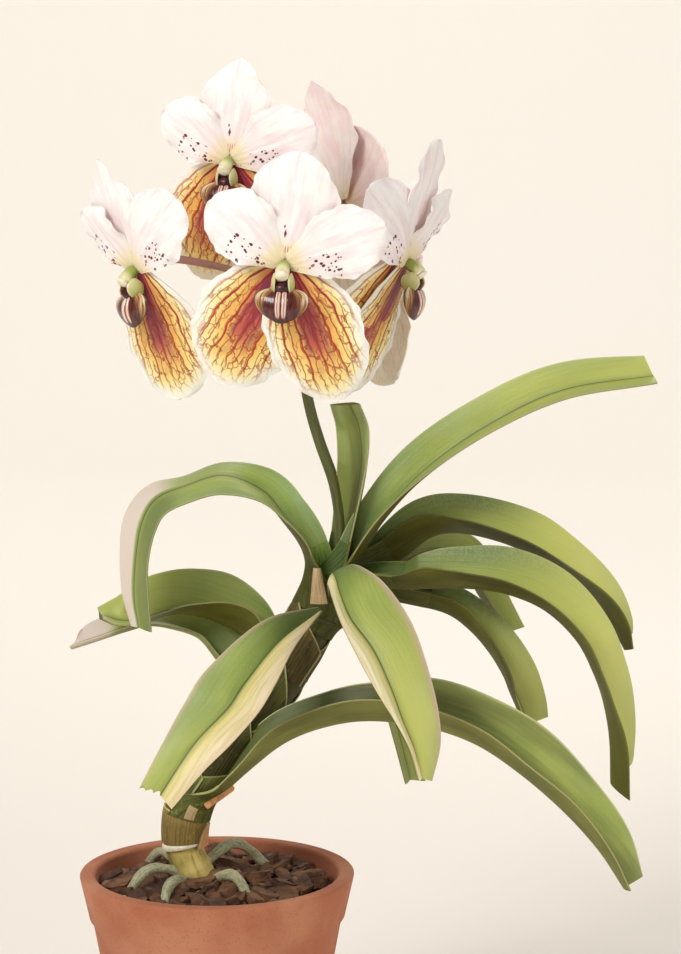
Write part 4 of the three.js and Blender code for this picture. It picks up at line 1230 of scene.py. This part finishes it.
bpy.ops.mesh.primitive_cylinder_add(
    vertices=64, radius=BED_RADIUS * MM, depth=BED_THICKNESS * MM, location=(0, 0, BED_MIDDLE * MM)
)
bark = bpy.context.object
bark.name = "bark_chips"
select_only(bark)
for chip in heap:
    chip.select_set(True)
bpy.ops.object.join()
bpy.ops.object.transform_apply(location=True, rotation=True, scale=True)
tidy_mesh(bark, 40)
hand_over(bark, "potting_bark", bark_finish())
print("bark faces:", len(bark.data.polygons))

# %% [markdown]
# ## Petal and sepal finishes
#
# The upper sepal and the two petals are white, flushed pink, with a scatter of maroon flecks near the
# centre. The two large lower sepals are amber, with a crimson band, red main veins that fan out from the
# base, a net of fine red-brown veins between them, and a cream margin. The main veins are lines of equal
# value of the `fan` mark, bent by noise, and the net is the border between cells. Both could be modelled
# as ribs, but they are finer than the faces of the mesh, so a bump is enough.

# %% Petal finishes
SEPAL_STOPS = [
    (0.0, "eaa850"), (0.14, "f2c163"), (0.3, "f7d97f"), (0.5, "fae8a0"),
    (0.68, "fbf2cf"), (0.84, "fcf6ea"), (1.0, "fdf8f2"),
]


def vein_lines(finish, count, wobble, width):
    """Lines that fan out from the base, with a true width in millimetres, a number or a value."""
    fan, fan_half, _ = finish.mark("fan")
    place = fan * count + wobble
    off = abs(finish.maths("FRACT", place + 0.5) - 0.5)
    return (off * fan_half / count).fade(width, width * 0.35)


def petal_face(name, lower_side=0, strokes=0.0):
    """White flushed pink. Lower_side puts the flecks right (-1) or left (1) of the middle line."""
    finish = Finish(name, Roughness=0.55, Subsurface_Weight=0.25, Subsurface_Scale=0.003, Sheen_Weight=0.08)
    across, along, _ = finish.mark("blade")
    x, y, _ = finish.mark("flat")
    fan = finish.mark("fan")[0]
    where = finish.joined(x, y)
    cloud = finish.noise(where, 0.06, 3)
    rays = finish.streaks(fan * 5.0, y * 0.03, detail=3)
    finish.tone = finish.mix(cloud.fade(0.4, 0.75) * 0.6, "fcf7f5", "f4dfe1")
    # Pink streaks along the fan: partly the petal's own pink flush, partly painted shade in its soft radial
    # folds.
    finish.coat("ebcfd5", rays.fade(0.42, 0.7) * 0.6)
    finish.coat("f3d5d3", along.fade(0.55, 0.05) * 0.4)
    finish.coat("f1dca4", y.fade(13.0, 3.0) * 0.75)
    if lower_side:
        fleck_at = finish.joined(x * 0.66 + finish.noise(where, 0.25) * 0.3, y * 0.48)
        near, pick = finish.cells(fleck_at), finish.cells(fleck_at, out=1)
        red, green, _ = [finish.node("SeparateColor", None, {0: pick}, out=part) for part in range(3)]
        reach = finish.maths("SQRT", x * x + y * y)
        angle = finish.maths("ARCTAN2", x, y) * lower_side
        ring = reach.fade(4.5, 7.0) * reach.fade(30.0, 22.0) * angle.fade(0.0, 0.2)
        spots = (near - (red * 0.34 + 0.2)).fade(0.06, -0.04)
        finish.coat("5f0c22", spots * green.fade(0.4, 0.43) * ring.fade(0.3, 0.45))
    if strokes:
        comb = finish.maths("SINE", x * 5.0)
        finish.coat("c25a68", comb.fade(-0.1, 0.5) * y.fade(8.0, 6.0) * strokes)
        fleck = (abs(x - 1.4) + abs(y - 13.0) * 0.3).fade(0.8, 0.55)
        fleck = finish.maths("MAXIMUM", fleck, (abs(x - 2.1) + abs(y - 16.5) * 0.5).fade(0.6, 0.35))
        finish.coat("74142e", fleck)
    finish.coat("fdf5ee", abs(across).fade(0.9, 0.99) * 0.6)
    return finish.paint(rays * 1.2 + finish.noise(where, 0.35, 3) * 0.5, 0.0006)


def petal_back(name):
    finish = Finish(name, Roughness=0.6, Subsurface_Weight=0.25, Subsurface_Scale=0.003)
    x, y, _ = finish.mark("flat")
    fan = finish.mark("fan")[0]
    where = finish.joined(x, y)
    rays = finish.streaks(fan * 5.0, y * 0.03, detail=3)
    veins = vein_lines(finish, 4.0, finish.noise(where, 0.09, 3) * 0.9, 0.6)
    finish.tone = finish.mix(finish.noise(where, 0.06, 3).fade(0.35, 0.7), "f8eceb", "f1dadc")
    # Pink streaks along the fan: partly the petal's own pink flush, partly painted shade in its soft radial
    # folds.
    finish.coat("e9cdcf", rays.fade(0.45, 0.72) * 0.5)
    finish.coat("c9b58f", veins * 0.16)
    finish.coat("e9d9a4", y.fade(14.0, 2.0) * 0.6)
    return finish.paint(rays + finish.noise(where, 0.35, 3) * 0.5, 0.0006)


def sepal_net(finish, along, x, y):
    """The red main veins, their branches and the net between them."""
    where = finish.joined(x, y)
    wobble = finish.noise(where, 0.07, 2) * 0.9 - 0.45
    main = vein_lines(finish, 4.0, wobble, 0.86 - along * 0.6) * along.fade(0.97, 0.75)
    branches = vein_lines(finish, 8.0, wobble * 2.0 + finish.noise(where, 0.3) * 0.3, 0.4)
    branches = branches * along.fade(0.15, 0.35) * along.fade(0.95, 0.75)
    bent_x = finish.mark("fan")[0] * 7.0 + finish.noise(where, 0.22, 2) * 1.1
    bent_y = y * 0.12 + finish.noise(where, 0.25, 2) * 1.1
    gap = finish.cells(finish.joined(bent_x, bent_y), feature="DISTANCE_TO_EDGE")
    broken = finish.noise(where, 0.16, 2).fade(0.36, 0.5)
    return main, branches, gap.fade(0.065, 0.02) * along.fade(0.08, 0.22) * broken


def sepal_face(name):
    """Lemon to gold, a crimson band along the middle, red veins that fade outwards, a cream margin."""
    finish = Finish(name, Roughness=0.5, Subsurface_Weight=0.2, Subsurface_Scale=0.003, Sheen_Weight=0.06)
    across, along, _ = finish.mark("blade")
    x, y, _ = finish.mark("flat")
    fan = finish.mark("fan")[0]
    where = finish.joined(x, y)
    main, branches, net = sepal_net(finish, along, x, y)
    cloud = finish.noise(where, 0.08, 3) * 0.24 - 0.12
    out = 1 - (1 - across * across) * (1 - along**5) + cloud
    finish.tone = finish.ramp(out, *SEPAL_STOPS)
    glow = finish.streaks(fan * 6.0, y * 0.05, detail=3).fade(0.45, 0.7) * out.fade(0.7, 0.3)
    finish.coat("e08c40", glow * 0.4)
    olive = finish.noise(where, 0.13, 2).fade(0.52, 0.68) * out.fade(0.5, 0.25)
    finish.coat("c2a24a", olive * 0.35)
    blush = abs(across).fade(0.75, 0.1) * along.fade(0.42, 0.05)
    finish.coat("c2504a", blush * 0.6)
    rays = finish.streaks(fan * 12.0, y * 0.04, detail=3)
    band = (abs(across) + cloud * 0.4).fade(0.3, 0.15) * (along + cloud).fade(0.78, 0.5)
    band = band * (0.8 + rays.fade(0.36, 0.56) * 0.2)
    finish.coat(finish.mix(rays.fade(0.42, 0.6), "b01c48", "78104c"), band * 0.92)
    fading = out.fade(0.98, 0.45)
    finish.coat(finish.mix(along.fade(0.6, 0.1), "b8321a", "a2152f"), main * fading)
    finish.coat("a5331a", branches * 0.8 * fading)
    finish.coat("a02816", net * 0.75 * out.fade(0.95, 0.45))
    relief = main * 0.6 + branches * 0.4 + net * 0.3 + finish.noise(where, 0.4, 3) * 0.6
    return finish.paint(relief, 0.0004)


def sepal_back(name):
    finish = Finish(name, Roughness=0.6, Subsurface_Weight=0.2, Subsurface_Scale=0.003)
    across, along, _ = finish.mark("blade")
    x, y, _ = finish.mark("flat")
    main, _, net = sepal_net(finish, along, x, y)
    where = finish.joined(x, y)
    finish.tone = finish.mix(finish.noise(where, 0.06, 3).fade(0.35, 0.7), "fbf3dc", "f3e2d0")
    finish.coat("f7efd8", abs(across).fade(0.6, 0.95))
    finish.coat("c29a7c", main * 0.22)
    finish.coat("c9a482", net * 0.12)
    finish.coat("a8a25c", along.fade(0.3, 0.0) * 0.6)
    return finish.paint(main + net * 0.5, 0.0004)


petal_finishes = {
    "dorsal": petal_face("dorsal_upper", strokes=0.8),
    "petal_right": petal_face("petal_right_upper", lower_side=-1),
    "petal_left": petal_face("petal_left_upper", lower_side=1),
}
petal_back_finish = petal_back("petal_back")
sepal_finish = sepal_face("lateral_sepal_upper")
sepal_back_finish = sepal_back("lateral_sepal_back")
print("petal finishes ready")

# %% [markdown]
# The lip is the small dark pouch in the middle: two pale ears, a maroon cup and a glossy plate with two
# ridges like brackets. Its shoulders are streaked with gold and carry a painted highlight towards their outer
# edges, and a painted highlight runs along each ridge. Streaks that run along the blade come from noise
# that is stretched in that direction.

# %% Lip and column finishes
RIDGE_SPACING = 2.9
BRACKET_WAIST = 0.72
BRACKET_BULGE = 0.4


def column_finish():
    finish = Finish("column_wax", Roughness=0.35, Subsurface_Weight=0.2, Subsurface_Scale=0.002)
    share = finish.mark("blade")[1]
    finish.tone = finish.ramp(share, (0.0, "7f8f3c"), (0.5, "9fac55"), (0.72, "d5d49a"), (1.0, "efe8cd"))
    finish.coat("86923c", finish.noise(finish.place(), 500).fade(0.5, 0.75) * 0.3)
    return finish.paint()


def ear_finish(name, base, tip):
    finish = Finish(name, Roughness=0.35, Subsurface_Weight=0.2, Subsurface_Scale=0.002)
    across, along, _ = finish.mark("blade")
    finish.tone = finish.mix(along.fade(0.0, 0.9), base, tip)
    finish.coat("e9e2b9", abs(across).fade(0.75, 1.0) * 0.6)
    return finish.paint()


def lip_finish():
    finish = Finish("lip_plate", Roughness=0.25, Coat_Weight=0.3)
    across, along, _ = finish.mark("blade")
    x, y, _ = finish.mark("flat")
    streaks = finish.streaks(x * 0.9, y * 0.25, detail=3)
    finish.tone = finish.mix(streaks.fade(0.35, 0.7), "35090d", "6b2319")
    fans = finish.streaks(across * 9.0, along * 1.2, detail=3)
    side = (abs(across) - along * 0.42).fade(0.3, 0.62)
    finish.coat("bd8c4b", side * (0.35 + fans.fade(0.4, 0.6) * 0.6))
    # Painted highlight: pale towards the outer edges of the shoulders, broken by the streaks.
    pale = abs(across).fade(0.62, 0.86) * along.fade(0.7, 0.4)
    finish.coat("ecdcb6", pale * fans.fade(0.42, 0.6) * 0.7)
    rim = finish.maths("MAXIMUM", abs(across).fade(0.93, 0.97), along.fade(0.9, 0.96))
    finish.coat("2c0a0c", rim * 0.85)
    bracket = abs(x / (BRACKET_WAIST + finish.maths("SINE", along * math.pi) * BRACKET_BULGE))
    ridge = finish.maths("COSINE", bracket * (2 * math.pi / RIDGE_SPACING)) * -1.0
    on_ridge = ridge.fade(-0.25, 0.35) * bracket.fade(3.0, 2.7)
    on_ridge = on_ridge * along.fade(0.08, 0.2) * along.fade(0.88, 0.76)
    finish.coat("dba184", on_ridge * 0.95)
    middle = abs(bracket - RIDGE_SPACING / 2)
    # Painted highlight along each ridge, beside its fine dark middle line.
    finish.coat("f6e2d4", on_ridge * middle.fade(0.6, 0.3) * 0.8)
    finish.coat("7a2c22", on_ridge * middle.fade(0.2, 0.08) * 0.7)
    return finish.paint(streaks, 0.0002)


def mouth_finish():
    finish = Finish("lip_mouth", Roughness=0.35)
    finish.tone = finish.mix(finish.noise(finish.place(), 600).fade(0.4, 0.7), "2c0810", "561822")
    return finish.paint()


def cap_finish():
    finish = Finish("anther_cap", Roughness=0.4, Subsurface_Weight=0.2, Subsurface_Scale=0.002)
    finish.tone = finish.mix(finish.noise(finish.place(), 450).fade(0.4, 0.7), "f6f0dc", "e3d9ac")
    return finish.paint()


column_wax = column_finish()
cap_wax = cap_finish()
ear_outside = ear_finish("lip_ear_outside", "a7ae5f", "cdca8e")
ear_inside = ear_finish("lip_ear_inside", "9c6a4c", "c9a070")
lip_gloss = lip_finish()
lip_mouth = mouth_finish()
print("lip finishes ready")

# %% [markdown]
# ## Blooms
#
# Each bloom is built in its own frame: x to its right, y up, z out of its face. A petal or sepal runs from
# its base along an angle in that face, leans out of it by its pitch, and is cupped, twisted and waved
# across. The frame is then turned to where the bloom looks, so all six blooms share one set of shapes,
# with a few measures changed for each, as the picture shows them.

# %% Bloom measures
DORSAL_OUTLINE = [0.2, 0.46, 0.82, 1.0, 1.0, 0.9, 0.7]
POINTED_OUTLINE = [0.2, 0.5, 0.88, 1.0, 0.9, 0.66, 0.36]
PETAL_OUTLINE = [0.22, 0.5, 0.82, 1.0, 1.02, 0.98, 0.85]
LATERAL_OUTLINE = [0.25, 0.7, 0.95, 1.02, 1.0, 0.95, 0.85]
BLADE_TIP = 0.996
BLADE_STEPS = 60
BLADE_PLACES = np.linspace(0, 1, BLADE_STEPS + 1)
WAVE_PHASE = 1.3
SCALLOP_DEPTH = 0.028
SCALLOP_WAVES = (3.1, 7.7)
RUFFLE_WAVES = 4.3
CREASE_HALF = 0.07
SIDE_CREASE_AT = 0.42
SIDE_CREASE_HALF = 0.1
SEGMENTS = {
    "dorsal": dict(
        angle=80, length=53, half=23, outline=DORSAL_OUTLINE, pitch=[6, 6, 4, 0, -6], cup=-0.1, twist=0,
        wave=(1.2, 1.5, 0.1), base=(0, 2, 0), thick=1.1,
    ),
    "petal_right": dict(
        angle=17, length=50, half=18.5, outline=PETAL_OUTLINE, pitch=[14, 10, 2, -6, -12], cup=-0.1, twist=8,
        wave=(2.0, 1.6, 0.3), base=(2, 1, 1), thick=1.1,
    ),
    "petal_left": dict(
        angle=146, length=46, half=18.5, outline=PETAL_OUTLINE, pitch=[14, 10, 2, -6, -12], cup=-0.1,
        twist=-8, wave=(2.0, 1.6, 0.6), base=(-2, 1, 1), thick=1.1,
    ),
    "lateral_right": dict(
        angle=-70, length=71, half=25, outline=LATERAL_OUTLINE, pitch=[-2, -3, -9, -17, -26], cup=-0.12,
        twist=0, wave=(1.2, 1.2, 0.2), base=(2, -2, -0.5), thick=1.2,
    ),
    "lateral_left": dict(
        angle=-116, length=71, half=25, outline=LATERAL_OUTLINE, pitch=[-8, -8, -13, -20, -28], cup=-0.12,
        twist=0, wave=(1.2, 1.2, 0.7), base=(-2, -2, -5), thick=1.2,
    ),
}
LIP_EAR = dict(
    angle=90, length=9.5, half=5.0, outline=[0.6, 0.95, 1, 0.85], pitch=[18, 4, -12, -26], cup=-0.34,
    twist=0, wave=(0, 0, 0), base=(6.0, -13, 0), thick=1.4,
)
LIP_PLATE = dict(
    angle=-92, length=18, half=13.4, outline=[0.42, 0.88, 1.0, 1.0, 0.88], pitch=[60, 40, 12, -14, -30],
    cup=-0.26, twist=0, wave=(0, 0, 0), base=(0, -11, 7), thick=1.6,
)
EAR_OFFSET = 4.4
NODDING = [0, -14, -30, -34, -30]
BLOOMS = {
    "front": dict(at=(36, -48, 422), turn=(7, -4, 0), scale=1, stalk=0.79, adjust={
        "petal_left": dict(angle=136, length=45), "petal_right": dict(angle=20, length=51),
        "lateral_left": dict(half=28, angle=-122)}),
    "left": dict(at=(-38, -6, 418), turn=(50, -14, 8), scale=1, stalk=0.7, adjust={
        "dorsal": dict(angle=92, length=55, half=19.5, outline=POINTED_OUTLINE),
        "petal_left": dict(angle=114, length=38, half=14, pitch=[16, 16, 12, 6, 0]),
        "petal_right": dict(angle=34, length=52, half=20, pitch=[10, 4, -8, -16, -20]),
        "lateral_right": dict(angle=-95, half=28, length=68, twist=-22, pitch=[-2, -3, -7, -10, -12]),
        "lateral_left": dict(angle=-110, pitch=[-10, -12, -15, -18, -20])}),
    "right": dict(at=(95, 4, 421), turn=(-66, -12, 0), scale=1, stalk=0.73, adjust={
        "dorsal": dict(angle=86, length=61, half=19),
        "petal_left": dict(angle=138, length=54, half=21, pitch=[8, 0, -14, -26, -30]),
        "petal_right": dict(angle=64, length=42, half=14, pitch=[16, 16, 12, 6, 0]),
        "lateral_right": dict(angle=-97, half=24, twist=10, pitch=[-8, -12, -16, -18, -20]),
        "lateral_left": dict(angle=-104, half=29, length=69, twist=28, pitch=[-5, -6, -9, -11, -13])}),
    "top": dict(at=(9, -16, 471), turn=(18, -4, 0), scale=0.94, stalk=0.99, adjust={
        "dorsal": dict(half=22, length=52, outline=POINTED_OUTLINE),
        "petal_left": dict(angle=139, half=17, length=42),
        "petal_right": dict(angle=20, half=18.5),
        "lateral_left": dict(angle=-118, half=28, length=78, pitch=NODDING),
        "lateral_right": dict(angle=-62, pitch=NODDING)}),
    "back_high": dict(at=(64, 44, 449), turn=(-124, 10, 0), scale=1, stalk=0.88, adjust={
        "dorsal": dict(length=63, half=29, outline=POINTED_OUTLINE, pitch=[6, 4, 0, -4, -8]),
        "petal_right": dict(angle=30, half=20, length=44),
        "petal_left": dict(angle=140, half=25, length=46)}),
    "back_low": dict(at=(84, 65.7, 406), turn=(-118, -6, 0), scale=0.92, stalk=0.81, adjust={
        "dorsal": dict(length=44),
        "petal_left": dict(angle=150, length=40),
        "petal_right": dict(angle=24, length=44),
        "lateral_right": dict(length=60, pitch=[0, 2, 2, -2, -8]),
        "lateral_left": dict(angle=-126, half=29, length=60, pitch=[0, 2, 2, -2, -8])}),
}
print("blooms:", list(BLOOMS))

# %% [markdown]
# A petal could be cut from a plane and bent by hand. Here it is computed from its measures instead: its
# axis is walked in small steps by the pitch, and the half width comes from the outline. The margin gets a
# slow wave, small scallops and a shallow crease along the middle, or it would look like cut paper.

# %% Blade and frame
def bloom_frame(bloom):
    """The bloom's right, up and outward directions and its middle, as a matrix in millimetres."""
    azimuth, elevation, roll = np.radians(bloom["turn"])
    level = np.array([math.cos(azimuth), -math.sin(azimuth), 0])
    outward = np.array([-math.sin(azimuth), -math.cos(azimuth), 0]) * math.cos(elevation)
    outward[2] = math.sin(elevation)
    upright = np.cross(outward, level)
    right = level * math.cos(roll) + upright * math.sin(roll)
    up = upright * math.cos(roll) - level * math.sin(roll)
    matrix = np.eye(4)
    matrix[:3, :3] = np.stack([right, up, outward], 1) * bloom["scale"]
    matrix[:3, 3] = bloom["at"]
    return matrix


def move(points, matrix):
    return np.asarray(points, float) @ matrix[:3, :3].T + matrix[:3, 3]


def wave(share, count, start, shift, across):
    """A wave along the blade, shifted by opposite amounts on its two sides."""
    return np.sin(2 * np.pi * (count * share + start) + np.sign(across) * shift)


def blade_axis(segment, share):
    """The middle line of a blade, and its directions to the side and out of its face."""
    angle = math.radians(segment["angle"])
    radial = np.array([math.cos(angle), math.sin(angle), 0])
    flat_side = np.array([-math.sin(angle), math.cos(angle), 0])
    outward = np.array([0, 0, 1.0])
    middles = (np.arange(BLADE_STEPS) + 0.5) / BLADE_STEPS
    pitch = np.radians(smooth(segment["pitch"], middles))[:, None]
    steps = (radial * np.cos(pitch) + outward * np.sin(pitch)) * segment["length"] / BLADE_STEPS
    axis = np.vstack([[0, 0, 0], np.cumsum(steps, 0)]) + np.array(segment["base"], float)
    pitch = np.radians(smooth(segment["pitch"], share))[:, None]
    level = -radial * np.sin(pitch) + outward * np.cos(pitch)
    twist = (np.radians(segment["twist"]) * share)[:, None]
    side = flat_side * np.cos(twist) + level * np.sin(twist)
    face = level * np.cos(twist) - flat_side * np.sin(twist)
    return between(share, BLADE_PLACES, axis), side, face


def blade_points(segment, across, along, ruffle):
    """Points of a petal, sepal or lip plate in the bloom's own frame."""
    share = BLADE_TIP * (1 - (1 - along) ** 1.5)
    centre, side, face = blade_axis(segment, share)
    half = segment["half"] * smooth(segment["outline"], share) * np.sqrt(1 - share**5)
    height, count, start = segment["wave"]
    if ruffle:
        broad, narrow = SCALLOP_WAVES
        scallop = wave(share, broad, start, 1.7, across) + 0.6 * wave(share, narrow, 2 * start, 0.6, across)
        half = half * (1 - SCALLOP_DEPTH * (1.6 + scallop) * np.minimum(1, 3 * share))
    ripple = wave(share, count, start, WAVE_PHASE, across)
    lift = (segment["cup"] * half + height * ripple * np.minimum(1, 4 * share)) * across**2
    if ruffle:
        fine = wave(share, RUFFLE_WAVES, start, 2.1, across) * across**6 * np.minimum(1, 3 * share)
        middle = np.exp(-((across / CREASE_HALF) ** 2))
        sides = np.exp(-(((np.abs(across) - SIDE_CREASE_AT) / SIDE_CREASE_HALF) ** 2))
        crease = (0.5 * middle + 0.25 * sides) * np.sin(np.pi * np.clip(share * 1.1, 0, 1))
        lift = lift + ruffle * (fine - crease)
    points = centre + side * (half * across)[:, None] + face * lift[:, None]
    outline = np.maximum.accumulate(smooth(segment["outline"], BLADE_PLACES))
    fan_half = np.interp(share, BLADE_PLACES, segment["half"] * outline * (1 + 0.25 * BLADE_PLACES))
    marks = sheet_marks(across, share, half, share * segment["length"])
    return points, {**marks, "fan": columns(across * half / fan_half, fan_half, 0.0)}


def blade_piece(name, segment, matrix, grid, finishes, ruffle=0.0, relief=None, thin_margin=0.4):
    def place(across, along):
        points, marks = blade_points(segment, across, along, ruffle)
        if relief:
            points = points + relief(across, marks)
        return move(points, matrix), marks

    return sheet_piece(name, grid, place, segment["thick"], finishes, thin_margin, facing=-1)


print("blade helper ready")

# %% [markdown]
# Five blades make the face of a bloom. The two lower sepals are the largest and carry the net of veins.

# %% Petals and sepals
PETAL = dict(grid=(32, 48), ruffle=0.8, slot="petal", node="petals")
SEPAL = dict(grid=(36, 52), ruffle=0.5, slot="lateral_sepal", node="lateral_sepals")

for bloom_name, bloom in BLOOMS.items():
    matrix = bloom_frame(bloom)
    for name, common in SEGMENTS.items():
        lateral = name.startswith("lateral")
        kind = SEPAL if lateral else PETAL
        finishes = [sepal_finish, sepal_back_finish] if lateral else [petal_finishes[name], petal_back_finish]
        segment = {**common, **bloom["adjust"].get(name, {})}
        piece = blade_piece(f"{bloom_name}_{name}", segment, matrix, kind["grid"], finishes, kind["ruffle"])
        hand_over(piece, f"bloom_{bloom_name}_{kind['node']}")
print("petals and sepals:", len(BLOOMS) * len(SEGMENTS))

# %% [markdown]
# The column is the stout pale-green body in the middle of the flower. It nods forward and ends in a cream
# cap that covers the pollen, a flattened ball.

# %% Columns
COLUMN_PATH = [(0, 0, 0.6), (0, -0.6, 3), (0, -2.2, 6.6), (0, -4.2, 9.6)]
COLUMN_RADIUS = [2.8, 3.2, 3.7, 3.9]
COLUMN_GRID = (28, 28)
COLUMN_CAPS = (1.5, 1.6)
CAP_AT = (0, -4.4, 10)
CAP_SIZE = (3.4, 3.3, 1.1)
CAP_LEAN = math.radians(38)


def ball_piece(name, rings, matrix, at, lean, size):
    """A ball that is flattened, leaned and put in its place in a bloom."""
    bpy.ops.object.select_all(action="DESELECT")
    bpy.ops.mesh.primitive_uv_sphere_add(segments=rings[0], ring_count=rings[1], radius=1)
    ball = bpy.context.object
    ball.name = name
    there = Matrix(matrix.tolist()) @ Matrix.Translation(at) @ Matrix.Rotation(lean, 4, "X")
    ball.data.transform(Matrix.Scale(MM, 4) @ there @ Matrix.Diagonal((*size, 1)))
    tidy_mesh(ball)
    return ball


for bloom_name, bloom in BLOOMS.items():
    matrix = bloom_frame(bloom)
    node = f"bloom_{bloom_name}_column"

    def radius(share, angle):
        return even(COLUMN_RADIUS, share) * bloom["scale"] * (1 - 0.12 * np.cos(2 * angle) * share)

    path = Path(move(COLUMN_PATH, matrix))
    piece = tube_piece(f"{bloom_name}_column", COLUMN_GRID, path, radius, radius, COLUMN_CAPS)
    hand_over(piece, node, column_wax)
    cap = ball_piece(f"{bloom_name}_anther_cap", (24, 12), matrix, CAP_AT, CAP_LEAN, CAP_SIZE)
    hand_over(cap, node, cap_wax)
print("columns:", len(BLOOMS))

# %% [markdown]
# The plate of the lip is a broad kidney, with its shoulders lifted and the ridges raised from its surface.
# They are shaped in the grid itself, so the dark streaks and the ridges fall in the same places.

# %% Lips
RIDGE_HEIGHT = 0.9
RIDGE_REACH = 3.1
SHOULDER_LIFT = 7.8
PLATE_GRID = (54, 40)
EAR_GRID = (16, 18)
CUP_AT = (0, -10.4, 5.5)
CUP_SIZE = (5.2, 3.4, 5.6)
EARS = [(1, "right", [ear_inside, ear_outside]), (-1, "left", [ear_outside, ear_inside])]


def ear_frame(hand, matrix):
    """The bloom's frame, turned so that a blade stands to the right (1) or left (-1) of the cup."""
    turn = np.eye(4)
    turn[:3, :3] = np.stack([(0, 0, 1.0), (0, 1.0, 0), (hand, 0, 0)], 1)
    turn[0, 3] = hand * EAR_OFFSET
    return matrix @ turn


def plate_relief(across, marks):
    """The two ridges like brackets, and the lifted shoulders."""
    share = marks["blade"][:, 1]
    bracket = marks["flat"][:, 0] / (BRACKET_WAIST + BRACKET_BULGE * np.sin(share * np.pi))
    band = np.clip((RIDGE_REACH - np.abs(bracket)) / 0.6, 0, 1)
    band = band * np.clip(share * 7 - 0.4, 0, 1) * np.clip((0.88 - share) * 7, 0, 1)
    height = RIDGE_HEIGHT * np.clip(-np.cos(2 * np.pi * bracket / RIDGE_SPACING), 0, 1) * band
    shoulder = SHOULDER_LIFT * across**2 * np.sqrt(share) * (1 - share)
    return columns(0.0, 0.35 * height + shoulder, 0.94 * height - 0.3 * shoulder)


for bloom_name, bloom in BLOOMS.items():
    matrix = bloom_frame(bloom)
    node = f"bloom_{bloom_name}_lip"
    name, gloss = f"{bloom_name}_lip_plate", [lip_gloss, lip_gloss]
    plate = blade_piece(name, LIP_PLATE, matrix, PLATE_GRID, gloss, relief=plate_relief, thin_margin=0.6)
    hand_over(plate, node)
    for hand, side, finishes in EARS:
        name = f"{bloom_name}_lip_ear_{side}"
        ear = blade_piece(name, LIP_EAR, ear_frame(hand, matrix), EAR_GRID, finishes)
        hand_over(ear, node)
    cup = ball_piece(f"{bloom_name}_lip_cup", (28, 18), matrix, CUP_AT, 0, CUP_SIZE)
    hand_over(cup, node, lip_mouth)
print("lips:", len(BLOOMS))

# %% [markdown]
# ## Flower stalk
#
# One olive stalk rises from the leaf axils. Each bloom hangs from it on a stalklet that thickens into a
# ribbed seed case behind the bloom, paler and pinker towards the flower.

# %% Stalk
STALK_PATH = [(62, 8, 262), (63, 8, 284), (60, 8, 308), (52, 6, 332), (47, 6, 350),
              (42, 6, 377), (37, 6, 402), (33, 8, 427), (30, 10, 449), (27, 8, 463)]
STALK_RADIUS = [3, 3, 2.9, 2.8, 2.7, 2.5, 2.3, 2.1, 1.9, 1.5]
STALK_GRID = (24, 90)
STALKLET_RADIUS = 1.6
OVARY_RADIUS = 2.2
STALKLET_GRID = (24, 48)
STALK_REACH = 20
STALK_SEAT = (0, 1.0, -0.8)
STALKLET_RISE = np.array([0, 0, 5])


def stalk_finish(name, base, dark, tip):
    finish = Finish(name, Roughness=0.5, Subsurface_Weight=0.05)
    x, y, z = finish.mark("round")
    share = finish.mark("blade")[1]
    streaks = finish.streaks(x, y, z * 0.08, detail=3)
    finish.tone = finish.mix(streaks.fade(0.4, 0.7) * 0.6, base, dark)
    finish.coat(tip, share.fade(0.35, 0.95))
    return finish.paint(streaks, 0.0003)


stalk_path = Path(STALK_PATH)
stalk_green = stalk_finish("flower_stalk", "56612f", "343b1b", "6b7340")
stalklet_pink = stalk_finish("stalklet", "b08a7c", "8f5f62", "dcaeb2")


def stalk_radius(share, angle):
    return even(STALK_RADIUS, share) + 0.08 * np.sin(5 * angle)


def stalklet_radius(share, angle):
    grow = STALKLET_RADIUS + (OVARY_RADIUS - STALKLET_RADIUS) * share
    return grow * (1 + 0.1 * np.cos(6 * angle + 5 * share) * np.clip(share * 3 - 1, 0, 1))


stalk = tube_piece("main_stalk", STALK_GRID, stalk_path, stalk_radius, stalk_radius, (0, 2))
hand_over(stalk, "flower_stalk", stalk_green)
for bloom_name, bloom in BLOOMS.items():
    start = stalk_path.at(np.array([bloom["stalk"]]))[0]
    seat, approach = move([STALK_SEAT, (0, 0, -STALK_REACH)], bloom_frame(bloom))
    path = Path([start, start + (approach - start) * 0.4 + STALKLET_RISE, approach, seat])
    name = f"{bloom_name}_stalklet"
    piece = tube_piece(name, STALKLET_GRID, path, stalklet_radius, stalklet_radius, (0, 1.5))
    hand_over(piece, "flower_stalk", stalklet_pink)
print("stalklets:", len(BLOOMS))
print("pieces:", len(made_pieces), "triangles about", 2 * sum(len(p.data.polygons) for p in made_pieces))
